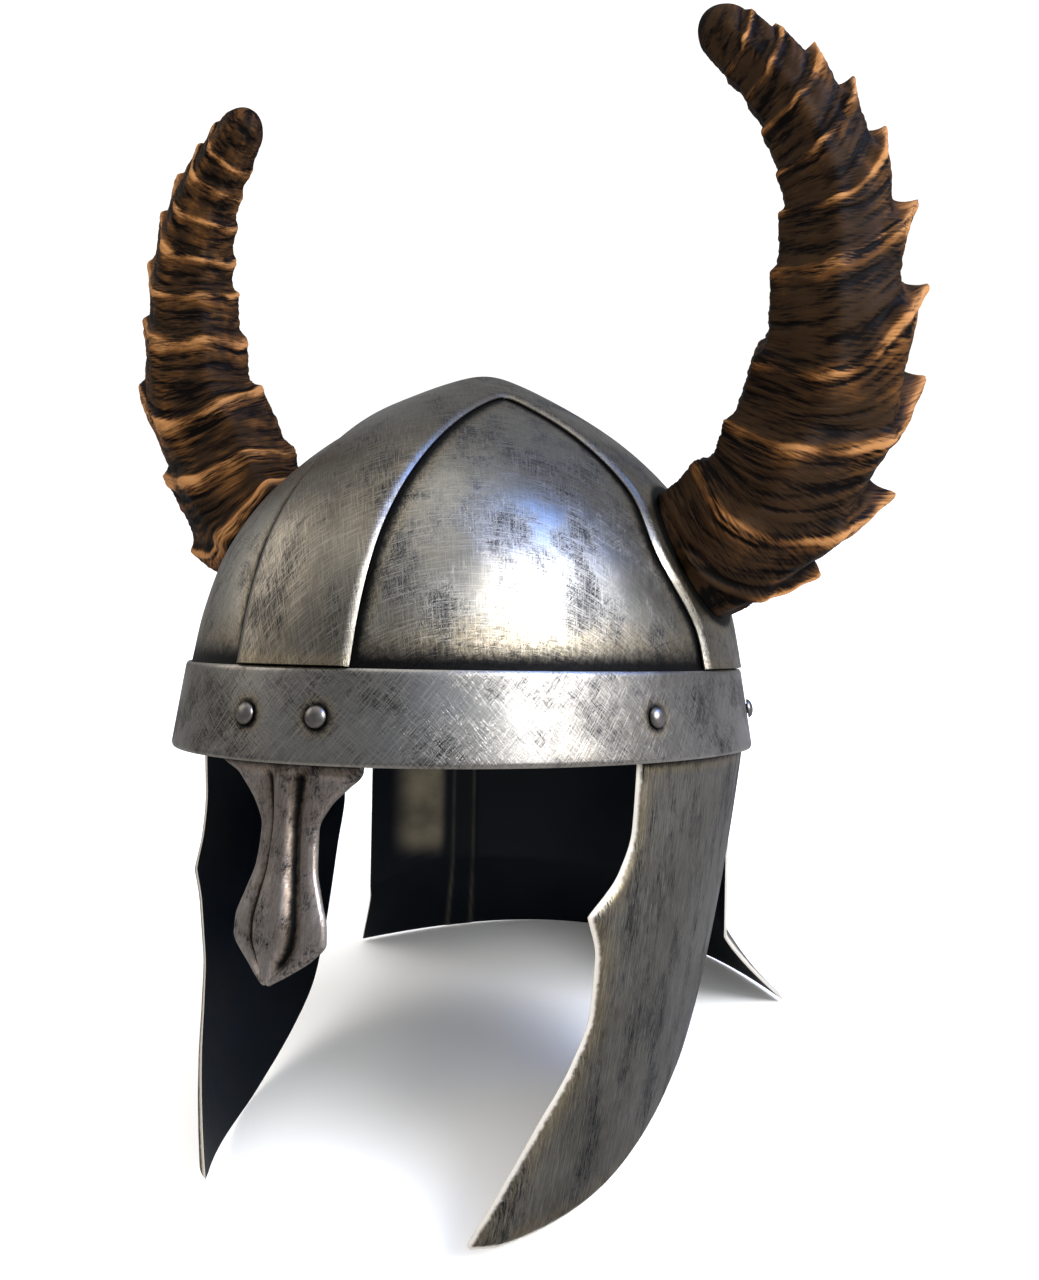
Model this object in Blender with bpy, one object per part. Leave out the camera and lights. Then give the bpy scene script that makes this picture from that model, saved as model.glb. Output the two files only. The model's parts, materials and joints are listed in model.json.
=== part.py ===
# Horned steel helmet: brow band, four dome panels, crossing straps, nose guard, cheek guards, neck guard,
# two cast horns and rivets. The helmet is worked out upright, with the crossing of the straps above the
# origin, the band's lower edge at z = 0 and the face towards -Y. Everything then hangs on one empty, which
# leans the helmet back onto its cheek guards and neck guard, as it rests on a table.
import math

import bmesh
import bpy
from mathutils import Matrix, Vector

MM = 0.001

# Air between pieces that touch
CLEARANCE = 0.3 * MM
STRAP_CLEARANCE = 0.8 * MM

# Brow band: half-ellipses in front of and behind the crossing, wider at the lower edge
BAND_HALF_WIDTH = 105.0 * MM
BAND_FRONT = 131.3 * MM
BAND_REAR = 99.7 * MM
BAND_HEIGHT = 29.1 * MM
BAND_FLARE = 4.8 * MM
BAND_SHEET = 1.5 * MM
BAND_EDGE = 0.4 * MM

# Dome panels, which run down inside the band
DOME_HEIGHT = 110.0 * MM
PANEL_SHEET = 1.5 * MM
PANEL_FOOT = 1.0 * MM
PANEL_GAP = 0.6 * MM
CROWN_HOLE = 4.0 * MM

# Straps over the panels' joints
STRAP_SHEET = 1.8 * MM
STRAP_FOOT = 0.7 * MM
FRONT_STRAP_HALF_WIDTH = 21.5 * MM
FRONT_STRAP_TOP_HALF_WIDTH = 20.3 * MM
SIDE_STRAP_TOP_HALF_WIDTH = 24.0 * MM
LOBE_HALF_WIDTH = 35.7 * MM

# Guards, in the layer inside the panels
TANG_HEIGHT = 24.0 * MM
CHEEK_SHEET = 2.0 * MM
CHEEK_LENGTH = 150.5 * MM
CHEEK_WIDTH = 136.0 * MM
CHEEK_REAR = 38.0 * MM
CHEEK_TUCK = 4.7 * MM
CHEEK_CURL = 12.8 * MM
CHEEK_TWIST = 19.9 * MM
CHEEK_TWIST_AXIS = 0.72
NECK_SHEET = 1.5 * MM
NECK_END_ANGLE = math.radians(57.2)
FLANGE_END_ANGLE = math.radians(53.2)
NECK_BEND_END = 78.0 * MM
NECK_BEND_REAR = 62.0 * MM
FLANGE_OUT_END = 27.0 * MM
FLANGE_OUT_REAR = 20.0 * MM
FLANGE_DROP = 26.9 * MM
FLANGE_SLOPE = 0.26

# Nose guard
NASAL_SHEET = 2.5 * MM
NASAL_LENGTH = 66.5 * MM
NASAL_HALF_WIDTH = 27.0 * MM
NASAL_TANG_HALF_WIDTH = 22.0 * MM
NASAL_RELIEF_START = 8.0 * MM
NASAL_KICK = 6.5 * MM
NASAL_RELIEF = 4.2 * MM

# Horns
HORN_RISE = 180.2 * MM
HORN_SPREAD = 53.2 * MM
HORN_SWEEP = 27.2 * MM
HORN_BASE_HEIGHT = 70.2 * MM
HORN_BASE_DEPTH = 4.5 * MM
HORN_HALF_WIDTH = 27.7 * MM
HORN_RIDGE = 1.6 * MM
HORN_TOOTH = 10.0 * MM
HORN_HOOK = 3.0 * MM
HORN_RINGS_START = 0.045
HORN_TIP_START = 0.955
TOOTH_TURN = math.radians(42.0)

# Rivets
RIVET_HEAD_RADIUS = 3.5 * MM
RIVET_HEAD_HEIGHT = 2.1 * MM
RIVET_SHANK_RADIUS = 1.8 * MM
RIVET_TAIL_RADIUS = 2.9 * MM
RIVET_TAIL_HEIGHT = 1.1 * MM
RIVET_HEIGHT = 14.2 * MM
NASAL_RIVET_SPACING = 26.2 * MM
CHEEK_RIVET_FRONT = -54.0 * MM
CHEEK_RIVET_REAR = 28.0 * MM
NECK_RIVET_ANGLE = math.radians(50.0)

# How sharply some curves turn: powers that their shares are raised to
ARM_EASE = 1.5
NECK_BEND_TURN = 5
FLANGE_OUT_TURN = 4
FLANGE_CURVE = 1.15
TOOTH_SHARPNESS = 3

# Mesh fineness
QUARTER_STEPS = 14
DOME_ROWS = 11
BAND_ROWS = 1
STRAP_COLUMNS = 6
ARM_ROWS = 12
TANG_ROWS = 2
CHEEK_COLUMNS = 8
NECK_COLUMNS = 22
NECK_WALL_ROWS = 4
FLANGE_ROWS = 3
HORN_SIDES = 16
HORN_FRAME_STEP = 0.02
RIVET_SIDES = 8
RIVET_DOME_ANGLES = (math.radians(35.0), math.radians(70.0))
SHARP_ANGLE = math.radians(35.0)
SEARCH_DEPTH = 40.0 * MM
SEARCH_STEPS = 40
DRILL_LENGTH = 30.0 * MM
MERGE_DISTANCE = 0.05 * MM

DOME_PROFILE = (
    # share of the half-width, share of the height
    (0.000, 1.000),
    (0.060, 0.990),
    (0.150, 0.955),
    (0.271, 0.900),
    (0.536, 0.750),
    (0.763, 0.550),
    (0.899, 0.350),
    (0.969, 0.150),
    (1.000, 0.000),
)

SIDE_STRAP_WIDTHS = (
    # share of the dome's height, share of the lobe's half-width
    (0.00, 0.590),
    (0.15, 0.600),
    (0.20, 0.710),
    (0.25, 0.850),
    (0.30, 0.945),
    (0.36, 1.000),
    (0.42, 0.965),
    (0.48, 0.865),
    (0.55, 0.770),
    (0.65, 0.750),
    (0.80, 0.740),
    (1.00, 0.680),
)

CHEEK_RIBS = (
    # front edge: share of the width from the rear edge, share of the length below the band;
    # rear edge: the same two
    (0.709, 0.000, 0.000, 0.000),
    (0.711, 0.141, 0.009, 0.134),
    (0.743, 0.235, 0.018, 0.222),
    (0.823, 0.321, 0.068, 0.369),
    (0.790, 0.416, 0.105, 0.470),
    (0.788, 0.530, 0.163, 0.604),
    (0.825, 0.638, 0.235, 0.725),
    (0.890, 0.748, 0.345, 0.819),
    (0.938, 0.839, 0.480, 0.896),
    (0.975, 0.914, 0.630, 0.953),
    (0.999, 0.962, 0.780, 0.982),
    (1.010, 0.992, 0.940, 1.000),
)

NASAL_RIBS = (
    # share of the length below the band, share of the half-width, of the forward kick,
    # and the rib's share of the width
    (0.000, 1.000, 0.00, 0.22),
    (0.045, 0.940, 0.00, 0.23),
    (0.120, 0.740, 0.00, 0.26),
    (0.210, 0.530, 0.02, 0.32),
    (0.310, 0.415, 0.08, 0.38),
    (0.470, 0.440, 0.30, 0.42),
    (0.600, 0.540, 0.62, 0.44),
    (0.730, 0.645, 0.92, 0.44),
    (0.810, 0.655, 0.98, 0.42),
    (0.880, 0.530, 1.00, 0.38),
    (0.950, 0.260, 1.00, 0.34),
    (1.000, 0.040, 1.00, 0.30),
)

NASAL_SECTION = (
    # places across half the guard from the rib's edge outwards, share of the relief
    (0.00, 0.18),
    (0.22, 0.60),
    (0.60, 0.72),
    (1.00, 1.00),
)

HORN_PATH = (
    # share of the length, share of the spread, of the rise and of the forward sweep
    (0.000, 0.000, 0.000, 0.000),
    (0.166, 0.547, 0.114, 0.004),
    (0.307, 0.814, 0.263, 0.059),
    (0.457, 0.989, 0.429, 0.364),
    (0.627, 1.000, 0.632, 0.485),
    (0.789, 0.793, 0.812, 0.743),
    (1.000, 0.200, 1.008, 1.030),
)

HORN_GIRTHS = (
    # share of the length, share of the half-width outwards and from front to back
    (0.000, 0.915, 0.880),
    (0.166, 0.935, 0.865),
    (0.307, 0.945, 0.810),
    (0.457, 0.810, 0.745),
    (0.627, 0.650, 0.610),
    (0.789, 0.500, 0.465),
    (0.900, 0.385, 0.350),
    (1.000, 0.300, 0.280),
)

HORN_RINGS = (
    # where the ring ends along the horn, share of the tooth's height
    (0.112, 0.60),
    (0.225, 0.95),
    (0.366, 0.80),
    (0.500, 0.80),
    (0.620, 0.75),
    (0.705, 0.55),
    (0.785, 0.60),
    (0.850, 0.50),
    (0.910, 0.30),
    (0.955, 0.20),
)

# Rings of the horn's seat on the strap, as shares of its size, and of its rounded tip along the horn
SEAT_RINGS = (0.2, 0.6, 1.0)
TIP_RINGS = (0.985, 0.997)

# Each ring of the horn swells slowly and ends in a step
RING_PROFILE = (
    # share along the ring, share of the swelling
    (0.10, 0.00),
    (0.60, 0.42),
    (1.00, 1.00),
)


def clear_scene():
    for obj in list(bpy.data.objects):
        bpy.data.objects.remove(obj, do_unlink=True)


def read_table(table, key, column):
    """Value of a column at a key, on a smooth curve through the table's rows that doesn't overshoot."""
    rows = len(table)
    key = min(max(key, table[0][0]), table[-1][0])
    row = 0
    while row < rows - 2 and key > table[row + 1][0]:
        row += 1

    def chord(index):
        span = table[index + 1][0] - table[index][0]
        return (table[index + 1][column] - table[index][column]) / span

    def slope(index):
        if index == 0:
            return chord(0)
        if index == rows - 1:
            return chord(rows - 2)
        before, after = chord(index - 1), chord(index)
        if before * after <= 0.0:
            return 0.0
        return 2.0 * before * after / (before + after)

    span = table[row + 1][0] - table[row][0]
    t = (key - table[row][0]) / span
    start, end = table[row][column], table[row + 1][column]
    return (start * (1 + 2 * t) * (1 - t) ** 2 + end * t * t * (3 - 2 * t)
            + span * (slope(row) * t * (1 - t) ** 2 - slope(row + 1) * t * t * (1 - t)))


def mix(a, b, share):
    return a + (b - a) * share


# The oval and the dome

def oval_reach(y, inset=0.0):
    """Length of the oval's half that a point lies in, front or rear."""
    return (BAND_FRONT if y < 0.0 else BAND_REAR) - inset


def oval_side(y, inset):
    """Half-width of the oval at a place along it."""
    reach = oval_reach(y, inset)
    return (BAND_HALF_WIDTH - inset) * math.sqrt(max(0.0, 1.0 - (y / reach) ** 2))


def flare_at(z):
    """How far the band, and each layer inside it, leans in at a height."""
    return BAND_FLARE * min(max(z, 0.0), BAND_HEIGHT) / BAND_HEIGHT


PANEL_INSET = BAND_SHEET + CLEARANCE
GUARD_INSET = PANEL_INSET + PANEL_SHEET + CLEARANCE


def dome_sizes(y, grow):
    """Half-width and reach of the dome at the band's top edge, grown by a thickness."""
    inset = PANEL_INSET + BAND_FLARE - grow
    return BAND_HALF_WIDTH - inset, oval_reach(y, inset)


def dome_z(share, grow):
    return BAND_HEIGHT + (DOME_HEIGHT + grow) * read_table(DOME_PROFILE, share, 1)


def dome_share(point, grow):
    half_width, reach = dome_sizes(point.y, grow)
    return math.hypot(point.x / half_width, point.y / reach)


def height_over_dome(point, grow):
    return point.z - dome_z(min(dome_share(point, grow), 1.0), grow)


def drop_onto_dome(point, direction, grow):
    """Moves a point along a direction until it lies on the dome grown by a thickness."""
    near, far = -SEARCH_DEPTH, SEARCH_DEPTH
    for _ in range(SEARCH_STEPS):
        middle = 0.5 * (near + far)
        place = point + direction * middle
        inside = height_over_dome(place, grow) < 0.0 and dome_share(place, grow) < 1.0
        if inside:
            near = middle
        else:
            far = middle
    return point + direction * far


# Building helpers

def material(name, colour, roughness, metallic):
    made = bpy.data.materials.new(name)
    made.use_nodes = True
    shader = made.node_tree.nodes["Principled BSDF"]
    shader.inputs["Base Color"].default_value = (*colour, 1.0)
    shader.inputs["Roughness"].default_value = roughness
    shader.inputs["Metallic"].default_value = metallic
    return made


def finish_mesh(name, bm, surface, stand):
    mesh = bpy.data.meshes.new(name)
    bm.to_mesh(mesh)
    bm.free()
    mesh.shade_smooth()
    mesh.set_sharp_from_angle(angle=SHARP_ANGLE)
    obj = bpy.data.objects.new(name, mesh)
    obj.data.materials.append(surface)
    obj.parent = stand
    bpy.context.collection.objects.link(obj)
    return obj


def grid_mesh(columns, rows, place):
    """A grid whose vertices are put where place(u, v) says, u across and v up, both from 0 to 1."""
    bm = bmesh.new()
    bmesh.ops.create_grid(bm, x_segments=columns, y_segments=rows, size=0.5)
    for vert in bm.verts:
        vert.co = place(vert.co.x + 0.5, vert.co.y + 0.5)
    return bm


def loft(rings, close_loop=False):
    """Joins rings of points into one closed body: its ends are fans, or the last ring meets the first."""
    bm = bmesh.new()
    rows = [[bm.verts.new(point) for point in ring] for ring in rings]
    sides = len(rows[0])
    pairs = list(zip(rows, rows[1:]))
    if close_loop:
        pairs.append((rows[-1], rows[0]))
    for lower, upper in pairs:
        for side in range(sides):
            after = (side + 1) % sides
            bm.faces.new((lower[side], lower[after], upper[after], upper[side]))
    if not close_loop:
        for row in (rows[0], rows[-1]):
            centre = bm.verts.new(sum((vert.co for vert in row), Vector()) / sides)
            for side in range(sides):
                bm.faces.new((row[side], row[(side + 1) % sides], centre))
    bmesh.ops.recalc_face_normals(bm, faces=bm.faces)
    return bm


def add_wall(obj, thickness):
    """Gives an outer surface its thickness, inwards."""
    wall = obj.modifiers.new("wall", "SOLIDIFY")
    wall.thickness = thickness
    wall.offset = -1.0
    wall.use_even_offset = True


def drill(obj, cutters):
    for cutter in cutters:
        cut = obj.modifiers.new("rivet_hole", "BOOLEAN")
        cut.operation = "DIFFERENCE"
        cut.solver = "EXACT"
        cut.object = cutter


# Brow band

def make_band(surface, stand):
    steps = 4 * QUARTER_STEPS
    section = [(0.0, BAND_EDGE), (0.0, BAND_HEIGHT - BAND_EDGE), (BAND_EDGE, BAND_HEIGHT),
               (BAND_SHEET, BAND_HEIGHT), (BAND_SHEET, 0.0), (BAND_EDGE, 0.0)]
    rings = []
    for depth, z in section:
        inset = depth + flare_at(z)
        ring = []
        for step in range(steps):
            angle = 2 * math.pi * step / steps
            y = -math.cos(angle)
            ring.append(Vector(((BAND_HALF_WIDTH - inset) * math.sin(angle), y * oval_reach(y, inset), z)))
        rings.append(ring)
    return finish_mesh("brow_band", loft(rings, close_loop=True), surface, stand)


# Dome panels

def dome_shares(rows, last):
    """Shares of the half-width from the band upwards, spaced evenly round the curve."""
    end = math.acos(last)
    return [math.cos(end * row / rows) for row in range(rows + 1)]


def make_panel(name, side, rear, surface, stand):
    half_width, _ = dome_sizes(0.0, 0.0)
    shares = dome_shares(DOME_ROWS, CROWN_HOLE / half_width)
    foot_rows = BAND_ROWS
    seam = PANEL_GAP / 2

    def place(u, v):
        row = round(v * (foot_rows + DOME_ROWS))
        angle = u * math.pi / 2
        y_sign = 1.0 if rear else -1.0
        if row < foot_rows:
            z = mix(PANEL_FOOT, BAND_HEIGHT, row / foot_rows)
            inset = PANEL_INSET + flare_at(z)
            wide, reach = BAND_HALF_WIDTH - inset, oval_reach(y_sign, inset)
        else:
            share = shares[row - foot_rows]
            z = dome_z(share, 0.0)
            wide, reach = dome_sizes(y_sign, 0.0)
            wide, reach = wide * share, reach * share
        x = seam + (wide - seam) * math.sin(angle)
        y = seam + (reach - seam) * math.cos(angle)
        return Vector((side * x, y_sign * y, z))

    bm = grid_mesh(QUARTER_STEPS, foot_rows + DOME_ROWS, place)
    if side * (1.0 if rear else -1.0) > 0.0:
        bmesh.ops.reverse_faces(bm, faces=bm.faces)
    obj = finish_mesh(name, bm, surface, stand)
    add_wall(obj, PANEL_SHEET)
    return obj


# Straps

def make_cross_frame(surface, stand):
    grow = STRAP_CLEARANCE + STRAP_SHEET
    across_top, along_top = FRONT_STRAP_TOP_HALF_WIDTH, SIDE_STRAP_TOP_HALF_WIDTH
    bm = bmesh.new()

    def add_patch(columns, rows, place, flip):
        patch = grid_mesh(columns, rows, place)
        if flip:
            bmesh.ops.reverse_faces(patch, faces=patch.faces)
        mesh = bpy.data.meshes.new("patch")
        patch.to_mesh(mesh)
        patch.free()
        bm.from_mesh(mesh)
        bpy.data.meshes.remove(mesh)

    def crossing(u, v):
        x, y = mix(-across_top, across_top, u), mix(-along_top, along_top, v)
        half_width, reach = dome_sizes(y, grow)
        return Vector((x, y, dome_z(math.hypot(x / half_width, y / reach), grow)))

    add_patch(STRAP_COLUMNS, STRAP_COLUMNS, crossing, False)

    def arm_levels(start, reach):
        """Shares down an arm's middle line, with how much each row still follows the crossing."""
        first = start / reach
        shares = dome_shares(ARM_ROWS, first)
        return [(share, ((1.0 - share) / (1.0 - first)) ** ARM_EASE) for share in shares]

    for y_sign in (-1.0, 1.0):
        levels = arm_levels(along_top, dome_sizes(y_sign, grow)[1])

        def front_place(u, v, y_sign=y_sign, levels=levels):
            share, level = levels[round(v * ARM_ROWS)]
            half = mix(FRONT_STRAP_HALF_WIDTH, across_top, level)
            x = mix(-half, half, u)
            half_width, reach = dome_sizes(y_sign, grow)
            full = math.sqrt(share ** 2 + level * (x / half_width) ** 2)
            y = y_sign * reach * math.sqrt(full ** 2 - (x / half_width) ** 2)
            z = dome_z(min(full, 1.0), grow)
            return Vector((x, y, max(z, BAND_HEIGHT + STRAP_FOOT)))

        add_patch(STRAP_COLUMNS, ARM_ROWS, front_place, y_sign > 0.0)

    for x_sign in (-1.0, 1.0):
        levels = arm_levels(across_top, dome_sizes(0.0, grow)[0])

        def side_place(u, v, x_sign=x_sign, levels=levels):
            row = round(v * ARM_ROWS)
            share, level = levels[row]
            height = read_table(DOME_PROFILE, share, 1)
            half = LOBE_HALF_WIDTH * read_table(SIDE_STRAP_WIDTHS, height, 1)
            if row == ARM_ROWS:
                half = along_top
            y = mix(-half, half, u)
            half_width, reach = dome_sizes(y, grow)
            full = math.sqrt(share ** 2 + level * (y / reach) ** 2)
            x = x_sign * half_width * math.sqrt(full ** 2 - (y / reach) ** 2)
            z = dome_z(min(full, 1.0), grow)
            return Vector((x, y, max(z, BAND_HEIGHT + STRAP_FOOT)))

        add_patch(STRAP_COLUMNS, ARM_ROWS, side_place, x_sign < 0.0)

    bmesh.ops.remove_doubles(bm, verts=bm.verts, dist=MERGE_DISTANCE)
    obj = finish_mesh("cross_frame", bm, surface, stand)
    add_wall(obj, STRAP_SHEET)
    return obj


# Guards

def cheek_x(share, y, z):
    """Outer face of a cheek guard: the band's oval, then leaning in and curling towards the tip."""
    down = max(-z, 0.0) / CHEEK_LENGTH
    lean = (CHEEK_TUCK * down + CHEEK_CURL * down ** 2
            + CHEEK_TWIST * down * (CHEEK_TWIST_AXIS - share))
    return oval_side(y, GUARD_INSET + flare_at(z)) - lean


def make_cheek_guard(name, side, surface, stand):
    rows = TANG_ROWS + len(CHEEK_RIBS) - 1

    def place(u, v):
        row = round((1.0 - v) * rows)
        if row < TANG_ROWS:
            front, rear = CHEEK_RIBS[0][0], CHEEK_RIBS[0][2]
            share = mix(rear, front, u)
            z = TANG_HEIGHT * (1.0 - row / TANG_ROWS)
        else:
            front, front_down, rear, rear_down = CHEEK_RIBS[row - TANG_ROWS]
            share = mix(rear, front, u)
            z = -CHEEK_LENGTH * mix(rear_down, front_down, u)
        y = CHEEK_REAR - CHEEK_WIDTH * share
        return Vector((side * cheek_x(share, y, z), y, z))

    bm = grid_mesh(CHEEK_COLUMNS, rows, place)
    if side > 0.0:
        bmesh.ops.reverse_faces(bm, faces=bm.faces)
    obj = finish_mesh(name, bm, surface, stand)
    add_wall(obj, CHEEK_SHEET)
    return obj


def make_neck_guard(surface, stand):
    levels = 1 + NECK_WALL_ROWS + FLANGE_ROWS
    corner_y = math.cos(FLANGE_END_ANGLE) * (BAND_REAR - GUARD_INSET + FLANGE_OUT_END)

    def place(u, v):
        row = round((1.0 - v) * levels)
        flange_share = max(0.0, (row - 1 - NECK_WALL_ROWS) / FLANGE_ROWS)
        half_turn = mix(NECK_END_ANGLE, FLANGE_END_ANGLE, flange_share)
        angle = mix(math.pi + half_turn, math.pi - half_turn, u)
        ends = abs(2.0 * u - 1.0)
        bend = -mix(NECK_BEND_REAR, NECK_BEND_END, ends ** NECK_BEND_TURN)
        out = 0.0
        if row == 0:
            z = TANG_HEIGHT
        elif row <= 1 + NECK_WALL_ROWS:
            z = bend * (row - 1) / NECK_WALL_ROWS
        else:
            full_out = mix(FLANGE_OUT_REAR, FLANGE_OUT_END, ends ** FLANGE_OUT_TURN)
            out = full_out * flange_share ** FLANGE_CURVE
            y = -math.cos(angle) * (BAND_REAR - GUARD_INSET + full_out)
            edge = -NECK_BEND_END - FLANGE_DROP + FLANGE_SLOPE * (y - corner_y)
            z = mix(bend, edge, flange_share)
        inset = GUARD_INSET + flare_at(z) - out
        x = (BAND_HALF_WIDTH - inset) * math.sin(angle)
        return Vector((x, -math.cos(angle) * (BAND_REAR - inset), z))

    bm = grid_mesh(NECK_COLUMNS, levels, place)
    bmesh.ops.reverse_faces(bm, faces=bm.faces)
    obj = finish_mesh("neck_guard", bm, surface, stand)
    add_wall(obj, NECK_SHEET)
    return obj


def nasal_front(x, z):
    """Forward place of the nose guard's flat field before its relief: the oval inside the panels."""
    inset = GUARD_INSET + flare_at(z)
    return -(BAND_FRONT - inset) * math.sqrt(1.0 - (x / (BAND_HALF_WIDTH - inset)) ** 2)


def make_nasal_guard(surface, stand):
    rows = TANG_ROWS + len(NASAL_RIBS) - 1
    half_columns = len(NASAL_SECTION)

    def place(u, v):
        row = round((1.0 - v) * rows)
        column = round((2.0 * u - 1.0) * half_columns)
        if row < TANG_ROWS:
            z = mix(TANG_HEIGHT, 0.0, row / TANG_ROWS)
            x = NASAL_TANG_HALF_WIDTH * column / half_columns
            return Vector((x, nasal_front(x, z), z))
        down, width, kick, rib = NASAL_RIBS[row - TANG_ROWS]
        z = -NASAL_LENGTH * down
        half = NASAL_HALF_WIDTH * width
        relief = 0.0
        x = 0.0
        if column:
            part, depth = NASAL_SECTION[abs(column) - 1]
            x = math.copysign(half * mix(rib, 1.0, part), column)
            relief = NASAL_RELIEF * depth * min(1.0, -z / NASAL_RELIEF_START)
        return Vector((x, nasal_front(x, z) - NASAL_KICK * kick + relief, z))

    bm = grid_mesh(2 * half_columns, rows, place)
    obj = finish_mesh("nasal_guard", bm, surface, stand)
    add_wall(obj, NASAL_SHEET)
    return obj


# Horns

def horn_centre(share):
    half_width, _ = dome_sizes(0.0, STRAP_CLEARANCE + STRAP_SHEET)
    base = drop_onto_dome(Vector((half_width, 0.0, HORN_BASE_HEIGHT)), Vector((1.0, 0.0, 0.0)),
                          STRAP_CLEARANCE + STRAP_SHEET)
    return base + Vector((HORN_SPREAD * read_table(HORN_PATH, share, 1) - HORN_BASE_DEPTH,
                          -HORN_SWEEP * read_table(HORN_PATH, share, 3),
                          HORN_RISE * read_table(HORN_PATH, share, 2)))


def horn_frame(share):
    """Centre of a cut through the horn, its direction, and its outward and backward directions."""
    centre = horn_centre(share)
    after, before = min(share + HORN_FRAME_STEP, 1.0), max(share - HORN_FRAME_STEP, 0.0)
    along = (horn_centre(after) - horn_centre(before)).normalized()
    outward = Vector((1.0, 0.0, 0.0))
    outward = (outward - along * outward.dot(along)).normalized()
    backward = outward.cross(along)
    if backward.y < 0.0:
        backward.negate()
    return centre, along, outward, backward


def horn_ring(share, ridge, tooth):
    """One ring of the horn, swollen all round by ridge and on its outer rear side by a tooth."""
    centre, along, outward, backward = horn_frame(share)
    tip = 1.0
    if share > HORN_TIP_START:
        tip = math.sqrt(max(0.0, 1.0 - ((share - HORN_TIP_START) / (1.0 - HORN_TIP_START)) ** 2))
    wide = HORN_HALF_WIDTH * read_table(HORN_GIRTHS, share, 1) * tip + ridge
    deep = HORN_HALF_WIDTH * read_table(HORN_GIRTHS, share, 2) * tip + ridge
    ring = []
    for side in range(HORN_SIDES):
        angle = 2 * math.pi * side / HORN_SIDES
        radial = outward * (wide * math.cos(angle)) + backward * (deep * math.sin(angle))
        point_share = max(0.0, math.cos(angle - TOOTH_TURN)) ** TOOTH_SHARPNESS
        lift = radial.normalized() * (tooth * point_share)
        hook = along * (HORN_HOOK * point_share * tooth / HORN_TOOTH)
        ring.append(centre + radial + lift + hook)
    return ring


def make_horn(name, side, surface, stand):
    grow = STRAP_CLEARANCE + STRAP_SHEET
    base_centre, base_along, _, _ = horn_frame(0.0)
    rings = []
    seat = horn_ring(0.0, 0.0, 0.0)
    for shrink in SEAT_RINGS:
        ring = []
        for point in seat:
            place = base_centre + (point - base_centre) * shrink
            ring.append(drop_onto_dome(place, base_along, grow) + base_along * CLEARANCE)
        rings.append(ring)
    start = HORN_RINGS_START
    for end, tooth_share in HORN_RINGS:
        for part, swell in RING_PROFILE:
            share = mix(start, end, part)
            girth = read_table(HORN_GIRTHS, share, 1)
            rings.append(horn_ring(share, HORN_RIDGE * girth * swell, HORN_TOOTH * tooth_share * swell))
        start = end
    for share in TIP_RINGS:
        rings.append(horn_ring(share, 0.0, 0.0))
    for ring in rings:
        for point in ring:
            point.x *= side
    return finish_mesh(name, loft(rings), surface, stand)


# Rivets

def rivet_frame(y=None, x=None, rear=False):
    """Point of the band's outer face at the rivets' height, with its outward direction."""
    inset = flare_at(RIVET_HEIGHT)
    wide = BAND_HALF_WIDTH - inset
    if x is not None:
        reach = oval_reach(1.0 if rear else -1.0, inset)
        y = math.copysign(reach * math.sqrt(1.0 - (x / wide) ** 2), 1.0 if rear else -1.0)
    else:
        reach = oval_reach(y, inset)
        x = wide * math.sqrt(1.0 - (y / reach) ** 2)
    flat = Vector((x / wide ** 2, y / reach ** 2, 0.0)).normalized()
    normal = (flat * BAND_HEIGHT + Vector((0.0, 0.0, BAND_FLARE))).normalized()
    return Vector((x, y, RIVET_HEIGHT)), normal


def make_rivet(name, centre, normal, grip, surface, stand):
    """A rivet with a domed head outside and a flat tail inside, its shank through all the layers."""
    seat = CLEARANCE
    tail = -grip - CLEARANCE
    profile = [(RIVET_TAIL_RADIUS, tail - RIVET_TAIL_HEIGHT), (RIVET_TAIL_RADIUS, tail),
               (RIVET_SHANK_RADIUS, tail), (RIVET_SHANK_RADIUS, seat), (RIVET_HEAD_RADIUS, seat)]
    for turn in RIVET_DOME_ANGLES:
        profile.append((RIVET_HEAD_RADIUS * math.cos(turn), seat + RIVET_HEAD_HEIGHT * math.sin(turn)))
    rings = []
    for radius, z in profile:
        rings.append([Vector((radius * math.cos(2 * math.pi * side / RIVET_SIDES),
                              radius * math.sin(2 * math.pi * side / RIVET_SIDES), z))
                      for side in range(RIVET_SIDES)])
    obj = finish_mesh(name, loft(rings), surface, stand)
    turn = normal.to_track_quat("Z", "Y").to_matrix().to_4x4()
    obj.matrix_local = Matrix.Translation(centre) @ turn
    return obj


def make_cutter(name, centre, normal, stand):
    """Drill for one rivet hole, left out of the finished helmet."""
    bm = bmesh.new()
    radius = RIVET_SHANK_RADIUS + CLEARANCE
    bmesh.ops.create_cone(bm, cap_ends=True, segments=RIVET_SIDES, radius1=radius, radius2=radius,
                          depth=DRILL_LENGTH)
    mesh = bpy.data.meshes.new(name)
    bm.to_mesh(mesh)
    bm.free()
    obj = bpy.data.objects.new(name, mesh)
    obj.hide_render = True
    obj.display_type = "WIRE"
    obj.parent = stand
    bpy.context.collection.objects.link(obj)
    turn = normal.to_track_quat("Z", "Y").to_matrix().to_4x4()
    obj.matrix_local = Matrix.Translation(centre) @ turn
    return obj


# Resting place

def helmet_points():
    """Every corner of every finished piece, where it now lies."""
    graph = bpy.context.evaluated_depsgraph_get()
    points = []
    for obj in bpy.context.scene.objects:
        if obj.type != "MESH" or obj.hide_render:
            continue
        seen = obj.evaluated_get(graph)
        mesh = seen.to_mesh()
        points.extend(seen.matrix_world @ vert.co for vert in mesh.vertices)
        seen.to_mesh_clear()
    return points


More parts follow.
